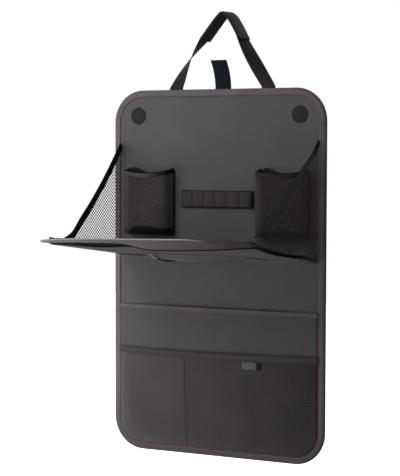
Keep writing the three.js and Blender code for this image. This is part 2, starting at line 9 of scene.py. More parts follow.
import bpy
import numpy as np
from mathutils import Matrix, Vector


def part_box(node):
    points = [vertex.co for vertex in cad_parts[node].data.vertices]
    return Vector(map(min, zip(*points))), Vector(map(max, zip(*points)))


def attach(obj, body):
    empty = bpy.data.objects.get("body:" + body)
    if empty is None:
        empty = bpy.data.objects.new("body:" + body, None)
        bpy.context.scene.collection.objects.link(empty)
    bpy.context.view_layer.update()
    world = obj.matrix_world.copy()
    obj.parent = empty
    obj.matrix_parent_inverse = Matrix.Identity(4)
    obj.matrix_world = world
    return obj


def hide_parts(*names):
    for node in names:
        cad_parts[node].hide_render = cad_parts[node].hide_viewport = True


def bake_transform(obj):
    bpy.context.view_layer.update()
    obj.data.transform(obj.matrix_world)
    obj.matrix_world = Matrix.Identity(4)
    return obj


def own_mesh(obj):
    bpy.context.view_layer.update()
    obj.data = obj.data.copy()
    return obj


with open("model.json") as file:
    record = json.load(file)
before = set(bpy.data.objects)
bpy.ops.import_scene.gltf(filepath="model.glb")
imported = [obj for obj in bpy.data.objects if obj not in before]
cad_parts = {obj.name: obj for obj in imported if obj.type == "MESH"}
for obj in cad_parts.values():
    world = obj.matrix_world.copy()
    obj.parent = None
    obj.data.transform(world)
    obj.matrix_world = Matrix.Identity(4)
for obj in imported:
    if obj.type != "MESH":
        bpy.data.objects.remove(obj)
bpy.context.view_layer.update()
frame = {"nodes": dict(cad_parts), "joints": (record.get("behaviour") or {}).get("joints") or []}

# Millimetres to metres
MM = 0.001

# Directions
RIGHT_WAY = np.array([1.0, 0.0, 0.0])
BACK_WAY = np.array([0.0, 1.0, 0.0])
UP_WAY = np.array([0.0, 0.0, 1.0])

# Joint that folds the tray against the panel
FOLD = frame["joints"][0]
HINGE = np.array(FOLD["pos_m"]) / MM


def box_mm(node):
    """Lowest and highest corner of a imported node, in millimetres."""
    low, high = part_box(node)
    return np.array(low) / MM, np.array(high) / MM


# Panel
PANEL_LOW, PANEL_HIGH = box_mm("edge_binding")
SIDE = PANEL_HIGH[0]
TOP = PANEL_HIGH[2]
PANEL_CORNER = 55.0
PANEL_FRONT = box_mm("front_sheet")[0][1]
LINING_FRONT = box_mm("back_lining")[0][1]
FRONT_THICKNESS = 1.2
LINING_THICKNESS = 1.4
BINDING_WIDTH = 12.0
BINDING_FRONT = PANEL_LOW[1]
TAPE_THICKNESS = 0.8
SEAM_MARGIN = 10.4
TAG_START = 7.0

# Height below which the edge tape is darkest, in metres
DARK_LEVEL = -0.36

# Tray
TILT = math.radians(7.0)
REACH_WAY = np.array([0.0, -math.cos(TILT), math.sin(TILT)])
RISE_WAY = np.array([0.0, math.sin(TILT), math.cos(TILT)])
TRAY_SIDE = box_mm("tray_binding")[1][0]
TRAY_DEPTH = 259.0
TRAY_CORNER = 10.0
FLAP_START = 232.0
TRAY_TAPE = 9.0
TRAY_INSET = 1.2

# Tray shape: how far the front fold and the flap's tip stand above the tray's plane, from left to right
FOLD_PLACES = [-190, -153, -108, -71, -42, -24, -2, 19, 63, 106, 156, 190]
FOLD_HEIGHTS = [1.8, 3.2, 4.0, 4.4, 3.4, -0.2, -3.6, -3.7, -2.7, -1.0, 3.2, 6.6]
TIP_PLACES = [-190, -165, -120, -50, 30, 80, 98, 115, 150, 190]
TIP_HEIGHTS = [1.8, 4.2, 6.6, 8.3, 10.3, 10.8, 9.8, 7.8, 8.8, 10.6]
# How far the dark sheet of painted shade hangs below the front fold, from left to right
GAP_PLACES = [-190, -150, -110, -72, -40, -20, 0, 106, 156, 190]
GAP_HEIGHTS = [1.2, 3.4, 4.6, 4.4, 1.9, 1.3, 1.4, 1.3, 1.5, 2.6]
RIGHT_REACHES = [0, 60, 100, 149, 172, 196, 219, 232]
RIGHT_LIFTS = [1.6, 3.4, 2.9, 2.9, 4.2, 5.1, 5.8, 6.8]
UNDER_PLACES = [-190, -147, -110, -72, -40, -18, 0, 100, 130, 156, 190]
UNDER_LIFTS = [-0.4, -0.6, -0.8, -0.5, 1.6, 0.6, 0.0, 0.0, 1.8, 3.9, 6.0]
UNDER_HEIGHT = -3.6
UNDER_LEFT_LIFT = 2.0

# Nets
FINE_CELL = (5.2, 4.9)
GUSSET_CELL = (7.8, 6.0)
WIDE_CELL = (5.4, 5.0)
NET_THICKNESS = 0.5

# Camera, fitted to the picture's corners
CAMERA_PLACE = (1.149, -2.303, 0.201)
CAMERA_YAW = math.radians(27.2)
CAMERA_PITCH = math.radians(3.12)
CAMERA_ROLL = math.radians(0.13)
SENSOR_MM = 36.0
FOCAL_PIXELS = 1516.0
LONG_SIDE_PIXELS = 476.0


def tone(code):
    """Linear colour of a hexadecimal screen colour."""
    channels = np.array([int(code[k : k + 2], 16) for k in (0, 2, 4)]) / 255
    linear = np.where(channels <= 0.04045, channels / 12.92, ((channels + 0.055) / 1.055) ** 2.4)
    return (*linear.tolist(), 1.0)


class Wire:
    """A number in a shader: Python's operators on it add the Math nodes."""

    def __init__(self, recipe, socket):
        self.recipe = recipe
        self.socket = socket

    def math(self, operation, other=0.0, turned=False):
        pair = [other, self] if turned else [self, other]
        return self.recipe.node("ShaderNodeMath", {"operation": operation}, dict(enumerate(pair)))

    def __add__(self, other):
        return self.math("ADD", other)

    def __sub__(self, other):
        return self.math("SUBTRACT", other)

    def __mul__(self, other):
        return self.math("MULTIPLY", other)

    def __truediv__(self, other):
        return self.math("DIVIDE", other)

    def __rsub__(self, other):
        return self.math("SUBTRACT", other, turned=True)

    __radd__ = __add__

    def sine(self):
        return self.math("SINE")

    def size(self):
        return self.math("ABSOLUTE")

    def limited(self):
        return self.math("MAXIMUM", 0.0).math("MINIMUM", 1.0)


class Recipe:
    """A material's nodes around its Principled shader."""

    def __init__(self, name, specular, roughness=0.9):
        self.material = bpy.data.materials.new(name)
        self.material.use_nodes = True
        self.tree = self.material.node_tree
        self.shader = self.tree.nodes["Principled BSDF"]
        self.shader.inputs["Roughness"].default_value = roughness
        self.shader.inputs["Specular IOR Level"].default_value = specular

    def feed(self, socket, value):
        """Links a wire to a socket, or sets the socket's own value."""
        if isinstance(value, Wire):
            self.tree.links.new(value.socket, socket)
        else:
            socket.default_value = value

    def node(self, kind, settings=None, sockets=None, output=0):
        """Adds a node with its settings, then its sockets' values or links, and returns one output."""
        made = self.tree.nodes.new(kind)
        for key, value in (settings or {}).items():
            setattr(made, key, value)
        for key, value in (sockets or {}).items():
            self.feed(made.inputs[key], value)
        return Wire(self, made.outputs[output])

    def cloth_place(self):
        """Place along and across the cloth, in metres, from the piece's own UV map."""
        place = self.node("ShaderNodeUVMap", {"uv_map": "cloth"})
        split = [self.node("ShaderNodeSeparateXYZ", None, {0: place}, k) for k in (0, 1)]
        return split[0], split[1]

    def noise(self, scale, detail=2.0, roughness=0.5):
        """Cloudy noise in the object's own space, from 0 to 1."""
        place = self.node("ShaderNodeTexCoord", output=3)
        sockets = {"Vector": place, "Scale": scale, "Detail": detail, "Roughness": roughness}
        return self.node("ShaderNodeTexNoise", None, sockets)

    def own_place(self, axis):
        """Place along one of the object's own axes, in metres."""
        place = self.node("ShaderNodeTexCoord", output=3)
        return self.node("ShaderNodeSeparateXYZ", None, {0: place}, axis)

    def blend(self, share, first, second):
        """Colour between two others, by a share."""
        return self.node("ShaderNodeMix", {"data_type": "RGBA"}, {0: share, 6: first, 7: second}, 2)

    def tones(self, share, dark, light):
        """Colour between two screen colours, by a share."""
        return self.blend(share, tone(dark), tone(light))

    def bump(self, height, depth_mm, strength=1.0, after=None):
        """Normal bent by a height from 0 to 1."""
        sockets = {"Height": height, "Distance": depth_mm * MM, "Strength": strength}
        if after is not None:
            sockets["Normal"] = after
        return self.node("ShaderNodeBump", None, sockets)

    def finish(self, colour, normal=None, roughness=None):
        self.feed(self.shader.inputs["Base Color"], colour)
        if normal is not None:
            self.feed(self.shader.inputs["Normal"], normal)
        if roughness is not None:
            self.feed(self.shader.inputs["Roughness"], roughness)
        return self.material


def wave(place, pitch_mm):
    """Sine along a place on the cloth with a pitch in millimetres, from 0 to 1."""
    return (place * (2 * math.pi / (pitch_mm * MM))).sine() * 0.5 + 0.5


def plain_weave(recipe, pitch_mm):
    """Height of a plain weave: warp and weft threads that go over each other in turn."""
    along, across = recipe.cloth_place()
    return (wave(along, pitch_mm) - wave(across, pitch_mm)).size()


def woven_finish(name, dark, light, pitch_mm=1.1, depth_mm=0.12):
    """Matt woven cloth: clouded colour, a fine weave and soft creases."""
    recipe = Recipe(name, 0.15)
    weave = plain_weave(recipe, pitch_mm)
    clouds = recipe.noise(14.0, 4.0)
    fuzz = recipe.noise(900.0)
    share = (clouds * 0.7 + weave * 0.18 + fuzz * 0.3 - 0.08).limited()
    creases = recipe.bump(recipe.noise(22.0), 3.0, 0.25)
    normal = recipe.bump(weave + fuzz * 0.5, depth_mm, 0.5, creases)
    return recipe.finish(recipe.tones(share, dark, light), normal, 0.78 + clouds * 0.2)


def side_share(recipe, start=-SIDE, end=SIDE):
    """Share from one place across the panel to another, in millimetres: the whole width if none is given."""
    return ((recipe.own_place(0) - start * MM) / ((end - start) * MM)).limited()


def ribbed_finish(name, dark, light, rib_mm=1.9, depth_mm=0.25, darken_span=0.0):
    """Ribbed tape: ribs across the tape's length, with fine threads between them. With a span given, in
    metres, it darkens towards the foot, and its outer rim darkens towards the right side, which is painted
    shade."""
    recipe = Recipe(name, 0.12)
    along, across = recipe.cloth_place()
    ribs = wave(along, rib_mm)
    threads = wave(across, rib_mm * 0.45)
    clouds = recipe.noise(30.0, 3.0)
    share = (ribs * 0.55 + threads * 0.12 + clouds * 0.45 - 0.1).limited()
    if darken_span:
        height = (recipe.own_place(2) - DARK_LEVEL) / darken_span
        # Painted shade: on the right side the tape's outer rim is drawn darker.
        rim = ((across * -1.0 - 1.5 * MM) / (4.5 * MM)).limited()
        right = side_share(recipe, 120.0, 190.0)
        share = share * height.limited() * (1 - right * (1 - rim))
    normal = recipe.bump(ribs + threads * 0.3, depth_mm, 0.7)
    return recipe.finish(recipe.tones(share, dark, light), normal, 0.7 + clouds * 0.2)


def webbing_finish(name, dark, light):
    """Woven webbing: slanting rows that meet in a chevron, with two selvedge lines."""
    recipe = Recipe(name, 0.12)
    along, across = recipe.cloth_place()
    slanted = wave(along + across.size() * 0.8, 1.7)
    cords = wave(across, 2.1)
    clouds = recipe.noise(25.0, 3.0)
    share = (slanted * 0.35 + cords * 0.3 + clouds * 0.4 - 0.1).limited()
    normal = recipe.bump(slanted * 0.6 + cords * 0.5, 0.3, 0.8)
    return recipe.finish(recipe.tones(share, dark, light), normal, 0.5 + clouds * 0.3)


def fuzzy_finish(name, dark, light, scale, depth_mm=0.5):
    """Hook or loop tape: a dense pile with a coarse grain."""
    recipe = Recipe(name, 0.08, 0.95)
    grain = recipe.noise(scale, 3.0, 0.7)
    clouds = recipe.noise(60.0)
    share = (grain * 1.6 - 0.5 + clouds * 0.2).limited()
    return recipe.finish(recipe.tones(share, dark, light), recipe.bump(grain, depth_mm, 0.9))


def painted_shade_finish(name, dark, light, far_dark, far_light, start=-SIDE, end=SIDE):
    """Woven cloth whose colour deepens from the left side to the right: painted light and shade, for light
    that falls from the left.
    """
    recipe = Recipe(name, 0.1)
    weave = plain_weave(recipe, 1.3)
    share = (weave * 0.4 + recipe.noise(16.0, 3.0) * 0.6).limited()
    side = side_share(recipe, start, end)
    colour = recipe.blend(side, recipe.tones(share, dark, light), recipe.tones(share, far_dark, far_light))
    return recipe.finish(colour, recipe.bump(weave, 0.15, 0.6))


def yarn_finish(name, dark, light, far_dark=None, far_light=None, gloss=0.15):
    """Thread and net: a twisted yarn with small lights on it, in two tones from left to right if asked, which
    is painted shade.
    """
    recipe = Recipe(name, gloss, 0.65)
    twist = recipe.noise(1400.0)
    share = (twist * 0.8 + recipe.noise(18.0) * 0.5 - 0.25).limited()
    colour = recipe.tones(share, dark, light)
    if far_dark:
        colour = recipe.blend(side_share(recipe), colour, recipe.tones(share, far_dark, far_light))
    return recipe.finish(colour, recipe.bump(twist, 0.15, 0.6))


def label_finish(name, dark, light):
    """Plain woven tag: a small diamond weave and nothing else."""
    recipe = Recipe(name, 0.2, 0.75)
    along, across = recipe.cloth_place()
    slants = wave(along + across, 2.6) * wave(along - across, 2.6)
    return recipe.finish(recipe.tones((slants * 1.5).limited(), dark, light), recipe.bump(slants, 0.2, 0.7))


def board_finish(name, dark, light):
    """Grey board hidden in the cloth: pressed fibres."""
    recipe = Recipe(name, 0.2)
    fibres = recipe.noise(260.0, 5.0, 0.7)
    return recipe.finish(recipe.tones(fibres, dark, light), recipe.bump(fibres, 0.2, 0.5))


FINISHES = {
    "panel_cloth": woven_finish("charcoal_cloth", "414142", "545455"),
    "lining_cloth": woven_finish("dark_lining", "2d2d2e", "3a3a3b", 1.6, 0.2),
    "under_cloth": woven_finish("under_cloth", "454243", "575455"),
    # The flap is lighter on the left and darker on the right: painted light and painted shade.
    "flap_cloth": painted_shade_finish("flap_cloth", "6a6768", "797676", "262425", "302e2e"),
    "hem_cloth": woven_finish("hem_cloth", "484545", "5d5959"),
    # Edge tape: darker towards its foot, with painted shade on its outer rim on the right side.
    "edge_tape": ribbed_finish("grey_tape", "393637", "706a6b", 2.5, 0.35, darken_span=0.16),
    # A dark strip along the flap's rim: painted shade.
    "rim_shade_strip": yarn_finish("rim_shade_strip", "2b2527", "3a3335"),
    # The tray's edge tape is light on the left, a painted highlight, and darkens from 55 to 115 mm towards
    # the right: painted shade.
    "tray_tape": painted_shade_finish("tray_tape", "858282", "a6a3a3", "282626", "353232", 55.0, 115.0),
    # Light tape on the pouch's mouth, its tone raised as painted light; it also draws a painted highlight
    # under the pouch.
    "lip_tape": ribbed_finish("lip_tape", "5b5758", "8a8687"),
    "dark_tape": ribbed_finish("black_tape", "0b0b0c", "171718", 1.6, 0.2),
    "hem_tape": ribbed_finish("hem_tape", "302d2e", "444041", 1.4, 0.2),
    # The mouth bands darken towards the right of each cup, and the right one is darker overall: painted
    # shade.
    "cup_band_left": painted_shade_finish("cup_band_left", "3d3a3b", "4c494a", "0f0e0f", "181718", -128.0, -98.0),
    "cup_band_right": painted_shade_finish("cup_band_right", "242223", "312e2f", "0d0c0d", "151415", 120.0, 160.0),
    # A darker copy of the panel cloth for the middle pocket: painted shade.
    "pocket_cloth": woven_finish("pocket_cloth", "3a3a3b", "4c4c4d"),
    "elastic": ribbed_finish("elastic_tape", "2d2a2b", "403d3e", 1.2, 0.2),
    # One black net in two copies, whose colour and gloss are set apart for the light on each side: painted
    # light.
    "mesh_left": yarn_finish("black_net_left", "0b0b0c", "1c1b1c"),
    "mesh_right": yarn_finish("black_net_right", "232021", "393537", gloss=0.02),
    # One cup net in two copies, the right one darker: painted shade.
    "cup_mesh_left": yarn_finish("cup_net_left", "363334", "6a6667"),
    "cup_mesh_right": yarn_finish("cup_net_right", "2b2829", "565253"),
    # The pocket's net darkens from left to right: painted shade.
    "pocket_mesh": yarn_finish("pocket_net", "3b3839", "615d5e", "282627", "494647"),
    # Near black cloth inside the bottle pockets: painted shade.
    "cup_shade_cloth": woven_finish("cup_shade_cloth", "0b0a0b", "121112", 1.6, 0.2),
    # A dark sheet behind the net pocket, darker from left to right: painted shade.
    "behind_net": painted_shade_finish("behind_net", "424142", "4e4d4e", "131313", "1d1d1d"),
    "hook_tape": fuzzy_finish("hook_pile", "161616", "3a3a3a", 380.0),
    "tab_tape": fuzzy_finish("tab_pile", "0b0c13", "1b1d27", 500.0, 0.3),
    "webbing": webbing_finish("black_webbing", "0b0b0c", "222223"),
    "thread": yarn_finish("pink_thread", "5a3a3e", "8f6468"),
    "dark_thread": yarn_finish("dark_thread", "121111", "262425"),
    "label": label_finish("plain_label", "2c2b2b", "706f6f"),
    "board": board_finish("pressed_board", "2b2a28", "4a4844"),
}


def wire_up(name, points, faces, finish, node, body, uv):
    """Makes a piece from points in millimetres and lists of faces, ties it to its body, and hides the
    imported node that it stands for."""
    mesh = bpy.data.meshes.new(name)
    mesh.from_pydata((points * MM).tolist(), [], [face for group in faces for face in group.tolist()])
    mesh.validate()
    if uv is not None:
        layer = mesh.uv_layers.new(name="cloth")
        order = np.zeros(len(mesh.loops), int)
        mesh.loops.foreach_get("vertex_index", order)
        layer.data.foreach_set("uv", (uv[order] * MM).astype(np.float32).ravel())
    mesh.polygons.foreach_set("use_smooth", np.ones(len(mesh.polygons), bool))
    mesh.materials.append(FINISHES[finish])
    made = bpy.data.objects.new(name, mesh)
    bpy.context.scene.collection.objects.link(made)
    if body:
        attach(made, body)
    if node:
        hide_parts(node)
    return made


def outwards(points, faces):
    """The same closed faces, all turned round if they point inwards, which makes their volume negative."""
    volume = 0.0
    for group in faces:
        first = points[group[:, 0]]
        for k in range(1, group.shape[1] - 1):
            volume += (first * np.cross(points[group[:, k]], points[group[:, k + 1]])).sum()
    return [group[:, ::-1] for group in faces] if volume < 0 else faces


def unit(ways):
    """Directions with a length of one."""
    return ways / np.linalg.norm(ways, axis=-1, keepdims=True)


def lengths_along(path):
    """Distance from the start to each point of a path."""
    return np.concatenate([[0.0], np.cumsum(np.linalg.norm(np.diff(path, axis=0), axis=1))])


def between(places, knots, rows):
    """Rows that are known at the knots, read off at places between them."""
    return np.stack([np.interp(places, knots, column) for column in np.transpose(rows)], 1)


def evenly(line, count, rows=None, endpoint=True):
    """Points at even distances along a line, or the rows that belong to them."""
    distance = lengths_along(line)
    places = np.linspace(0, distance[-1], count, endpoint=endpoint)
    return between(places, distance, line if rows is None else rows)


def grid_faces(index, wrap_rows=False, wrap_columns=False):
    """Four-sided faces over a grid of point numbers, closed in either direction if asked."""
    if wrap_rows:
        index = np.concatenate([index, index[:1]])
    if wrap_columns:
        index = np.concatenate([index, index[:, :1]], axis=1)
    corners = [index[:-1, :-1], index[:-1, 1:], index[1:, 1:], index[1:, :-1]]
    return np.stack(corners, -1).reshape(-1, 4)


def facing(grid):
    """Unit direction square to a grid of points."""
    square = np.cross(np.gradient(grid, axis=1), np.gradient(grid, axis=0))
    return square / np.maximum(np.linalg.norm(square, axis=-1, keepdims=True), 1e-9)


def sheet_points(grid, thickness):
    """Both sides of a sheet of cloth whose middle is the grid, and the faces that close it."""
    rows, columns = grid.shape[:2]
    push = facing(grid) * thickness / 2
    points = np.concatenate([(grid + push).reshape(-1, 3), (grid - push).reshape(-1, 3)])
    index = np.arange(rows * columns).reshape(rows, columns)
    upper = grid_faces(index)
    lower = upper[:, ::-1] + rows * columns
    rim = np.concatenate([index[0, :-1], index[:-1, -1], index[-1, :0:-1], index[:0:-1, 0]])
    after = np.roll(rim, -1)
    wall = np.stack([after, rim, rim + rows * columns, after + rows * columns], -1)
    return points, outwards(points, [np.concatenate([upper, lower, wall])])


def cloth(name, grid, thickness, finish, node=None, body="panel", place=None):
    """A sheet of cloth from a grid of points. The flat place of each point on the cloth is taken from its
    place across and up the panel if it isn't given."""
    points, faces = sheet_points(grid, thickness)
    flat = (grid[..., ::2] if place is None else place).reshape(-1, 2)
    return wire_up(name, points, faces, finish, node, body, np.concatenate([flat, flat]))


def stadium(width, thickness, steps=6):
    """Section of a flat strap: two straight sides joined by half circles, as (across, through)."""
    turn = np.linspace(-math.pi / 2, math.pi / 2, steps)
    right = np.stack([np.cos(turn), np.sin(turn)], 1) * thickness / 2 + [(width - thickness) / 2, 0]
    return np.concatenate([right, -right])


def strap(name, path, across, through, section, finish, node=None, body="panel", closed=False,
          widths=1.0):
    """A strap or tape: a section carried along a path. Its two directions, and its width as a share, are
    the same all along or given at each point. The cloth's flat place is its length and width."""
    across, through = (np.broadcast_to(way, path.shape)[:, None] for way in (across, through))
    wide = np.broadcast_to(widths, len(path))[:, None, None] * section[None, :, :1]
    rings = path[:, None] + across * wide + through * section[None, :, 1:]
    points = rings.reshape(-1, 3)
    index = np.arange(len(points)).reshape(rings.shape[:2])
    faces = [grid_faces(index, wrap_rows=closed, wrap_columns=True)]
    if not closed:
        faces.append(np.stack([index[0, ::-1], index[-1]]))
    flat = np.stack(np.meshgrid(lengths_along(path), section[:, 0], indexing="ij"), -1).reshape(-1, 2)
    return wire_up(name, points, outwards(points, faces), finish, node, body, flat)


def curve_through(points, count):
    """Smooth line through a few points, at even distances: a cubic between each pair, with the slope
    at each point taken from its neighbours."""
    points = np.asarray(points, float)
    knots = lengths_along(points)
    dense = np.linspace(0, knots[-1], count * 8)
    return evenly(hermite(dense, knots, points, np.gradient(points, knots, axis=0)), count)


def hermite(places, knots, values, slopes):
    """Cubic through values with given slopes, at the places asked for."""
    k = np.clip(np.searchsorted(knots, places, side="right") - 1, 0, len(knots) - 2)
    gap = knots[k + 1] - knots[k]
    t = (places - knots[k]) / gap
    if values.ndim > 1:
        t, gap = t[:, None], gap[:, None]
    first = (1 + 2 * t) * (1 - t) ** 2 * values[k] + t * (1 - t) ** 2 * gap * slopes[k]
    second = t * t * (3 - 2 * t) * values[k + 1] + t * t * (t - 1) * gap * slopes[k + 1]
    return first + second


def profile(places, knots, values):
    """Smooth height over a line of places, through a few known heights."""
    knots, values = np.asarray(knots, float), np.asarray(values, float)
    shape = np.shape(places)
    inside = np.clip(np.ravel(places), knots[0], knots[-1])
    return hermite(inside, knots, values, np.gradient(values, knots)).reshape(shape)


def ease(x):
    """Smooth step from 0 to 1."""
    x = np.clip(x, 0, 1)
    return x * x * (3 - 2 * x)


def stitches(name, path, out, finish, body="panel", pitch=3.4, length=2.6, radius=0.55):
    """Stitches of thread along a path: small closed barrels that lie with their length along it."""
    distance = lengths_along(path)
    middles = np.arange(pitch / 2, distance[-1], pitch)
    place = between(middles, distance, path)
    along = unit(between(middles, distance, np.gradient(path, distance, axis=0)))
    side = unit(np.cross(out, along))
    up = np.cross(along, side)
    ends = np.array([-0.5, -0.32, 0.32, 0.5]) * length
    girths = np.array([0.55, 1.0, 1.0, 0.55]) * radius
    turns = np.arange(6) * math.pi / 3
    spread = girths[:, None, None] * np.stack([np.cos(turns), np.sin(turns)], 1)
    rings = place[:, None, None] + along[:, None, None] * ends[:, None, None]
    rings = rings + side[:, None, None] * spread[..., :1] + up[:, None, None] * spread[..., 1:]
    points = rings.reshape(-1, 3)
    index = np.arange(len(ends) * len(turns)).reshape(len(ends), len(turns))
    starts = (np.arange(len(middles)) * index.size)[:, None, None]
    walls = (starts + grid_faces(index, wrap_columns=True)).reshape(-1, 4)
    caps = (starts + np.stack([index[0, ::-1], index[-1]])).reshape(-1, 6)
    return wire_up(name, points, outwards(points, [walls, caps]), finish, None, body, None)


def net(name, size, cell, keep, lay, finish, node, openness=0.8, sides=8):
    """A net: the flat cloth is tiled with upright diamonds, each is a ring round a hole, and lay()
    puts the flat cloth's points in place. keep() says which diamonds belong to the piece."""
    half = np.array(cell) / 2
    columns, rows = (np.array(size) / half).astype(int)
    i, j = np.meshgrid(np.arange(columns + 1), np.arange(rows + 1), indexing="ij")
    used = ((i + j) % 2 == 0) & keep(i * half[0], j * half[1])
    centres = np.stack([i[used], j[used]], 1)
    turns = np.arange(sides) * 2 * math.pi / sides
    ways = np.stack([np.cos(turns), np.sin(turns)], 1)
    ways = np.where(np.abs(ways) < 1e-9, 0, ways)
    rim = ways / np.abs(ways).sum(1, keepdims=True)
    hole = openness * (0.35 * rim + 0.65 * ways * 0.84)
    outer = centres[:, None] + rim
    inner = centres[:, None] + hole
    keys, index = np.unique(np.round(outer.reshape(-1, 2) * 4).astype(int), axis=0, return_inverse=True)
    index = index.reshape(len(centres), sides)
    ring = len(keys) + np.arange(len(centres) * sides).reshape(len(centres), sides)
    flat = np.concatenate([keys / 4, inner.reshape(-1, 2)]) * half
    corners = [index, np.roll(index, -1, 1), np.roll(ring, -1, 1), ring]
    faces = np.stack(corners, -1).reshape(-1, 4)
    made = wire_up(name, lay(flat[:, 0], flat[:, 1]), [faces], finish, node, "panel", flat)
    thicken = made.modifiers.new("thickness", "SOLIDIFY")
    thicken.thickness = NET_THICKNESS * MM
    thicken.offset = 0
    return made


# Panel


def panel_grid(margin, low=None, rows=70, columns=60):
    """Points across the panel drawn in by a margin: each row is level, and the rows shorten along the
    round corners. With low given, only the part below that height, with square upper corners."""
    half_width, half_height, radius = SIDE - margin, TOP - margin, PANEL_CORNER - margin
    turn = np.linspace(0, math.pi / 2, 12)[::-1]
    corner_height = half_height - radius + radius * np.sin(turn)
    corner_inset = radius * (1 - np.cos(turn))
    upper = half_height - radius if low is None else low
    middle = np.linspace(-(half_height - radius), upper, rows)
    heights = np.concatenate([-corner_height, middle[1:]])
    insets = np.concatenate([corner_inset, np.zeros(rows - 1)])
    if low is None:
        heights = np.concatenate([heights, corner_height[::-1][1:]])
        insets = np.concatenate([insets, corner_inset[::-1][1:]])
    share = np.linspace(-1, 1, columns)
    x = share[None] * (half_width - insets[:, None])
    z = np.broadcast_to(heights[:, None], x.shape)
    return x, z


def off_panel(x, distance, z):
    """Points that stand off the panel's front by a distance."""
    return np.stack(np.broadcast_arrays(x, PANEL_FRONT - distance, z), -1)


def ripple(x, z):
    """Faint waves of hand-sewn cloth."""
    slow = np.sin(x / 47 + 1.3 * np.sin(z / 71)) * np.sin(z / 63 + 0.8 * np.sin(x / 55))
    return 0.35 * (slow + 0.4 * np.sin(x / 19 + z / 31))


def panel_outline(margin, count=260):
    """Points round the panel's outline drawn in by a margin, and the outward direction at each."""
    corners, ways = [], []
    for quarter, (sign_x, sign_z) in enumerate([(1, 1), (-1, 1), (-1, -1), (1, -1)]):
        angle = np.linspace(0, math.pi / 2, 16) + quarter * math.pi / 2
        way = np.stack([np.cos(angle), np.zeros_like(angle), np.sin(angle)], 1)
        centre = sign_x * (SIDE - PANEL_CORNER) * RIGHT_WAY + sign_z * (TOP - PANEL_CORNER) * UP_WAY
        corners.append(centre + way * (PANEL_CORNER - margin))
        ways.append(way)
    corners = np.concatenate([*corners, corners[0][:1]])
    ways = np.concatenate([*ways, ways[0][:1]])
    return evenly(corners, count, endpoint=False), unit(evenly(corners, count, ways, endpoint=False))


def fold_section(width, front, back, thickness, steps=13):
    """Section of a tape folded over an edge, as (outwards from the edge, front to back): both sides
    roll towards the edge like a superellipse, and the same line lies inside it."""
    radius, middle = (back - front) / 2, (back + front) / 2
    turn = np.linspace(0, math.pi / 2, steps)
    share = np.sin(turn) ** 0.9

    def line(inset):
        out = -width + share * (width - inset)
        roll = (radius - inset) * np.cos(turn)
        upper = np.stack([out, middle - roll], 1)
        return np.concatenate([upper, (upper * [1, -1] + [0, 2 * middle])[-2::-1]])

    return np.concatenate([line(0.0), line(thickness)[::-1]])


def make_panel():
    x, z = panel_grid(3.0)
    front = off_panel(x, -FRONT_THICKNESS / 2 - ripple(x, z), z)
    cloth("panel_front", front, FRONT_THICKNESS, "panel_cloth", "front_sheet")
    back = np.stack([x, np.full_like(x, LINING_FRONT / 2), z], -1)
    cloth("panel_back", back, LINING_THICKNESS, "lining_cloth", "back_lining")
    core = frame["nodes"]["core_board"].data.materials
    core.clear()
    core.append(FINISHES["board"])

    path, out = panel_outline(0.0)
    section = fold_section(BINDING_WIDTH, BINDING_FRONT, PANEL_HIGH[1], TAPE_THICKNESS)
    strap("panel_binding", path, out, BACK_WAY, section, "edge_tape", "edge_binding",
          closed=True)
    seam, _ = panel_outline(SEAM_MARGIN, 700)
    seam = np.concatenate([seam, seam[:1]])
    for side, y, way in (("front", BINDING_FRONT - 0.05, -BACK_WAY),
                         ("back", PANEL_HIGH[1] - 0.15, BACK_WAY)):
        stitches(f"binding_stitches_{side}", seam + [0, y, 0], way, "thread")


DOT_RADIUS = 14.5
DOT_SHARES = np.array([0.0, 0.25, 0.5, 0.72, 0.88, 0.92, 0.97, 1.0, 1.0])
DOT_HEIGHTS = np.array([1.35, 1.3, 1.35, 1.3, 1.3, 0.9, 0.85, 0.6, 0.0])


def make_dot(name, centre, right, up, out, body, node):
    """A round of hook or loop pile with a flat rim: radius and height follow a short profile."""

    def spokes(turns):
        return DOT_RADIUS * (np.cos(turns)[:, None] * right + np.sin(turns)[:, None] * up)

    count = 40
    rim = spokes(np.linspace(0, 2 * math.pi, count, endpoint=False))
    rings = centre + rim * DOT_SHARES[1:, None, None] + out * DOT_HEIGHTS[1:, None, None]
    points = np.concatenate([rings.reshape(-1, 3), [centre + out * DOT_HEIGHTS[0]], [centre]])
    index = np.arange(len(points) - 2).reshape(-1, count)
    hub, base = np.full(count, len(points) - 2), np.full(count, len(points) - 1)
    top = np.stack([index[0], np.roll(index[0], -1), hub], 1)
    bottom = np.stack([np.roll(index[-1], -1), index[-1], base], 1)
    faces = [grid_faces(index, wrap_columns=True)[:, ::-1], top, bottom]
    made = wire_up(name, points, outwards(points, faces), "hook_tape", node, body, None)
    circle = centre + out * 1.1 + 0.93 * spokes(np.linspace(0, 2 * math.pi, 90))
    seam = stitches(f"{name}_stitches", circle, out, "dark_thread", body, 2.6, 1.9, 0.28)
    return made, seam


def make_panel_dots():
    for side in ("left", "right"):
        low, high = box_mm(f"panel_dot_{side}")
        centre = off_panel((low[0] + high[0]) / 2, 0.0, (low[2] + high[2]) / 2)
        make_dot(f"dot_{side}", centre, RIGHT_WAY, UP_WAY, -BACK_WAY, "panel", f"panel_dot_{side}")


# Pen strip


PEN_SEAMS = [-66.7, -46.5, -25.1, -4.1, 19.5, 42.4, 62.6]
PEN_RISE = 1.7
PEN_WAIST = 0.12
PEN_THICKNESS = 0.9
PEN_END = 3.2


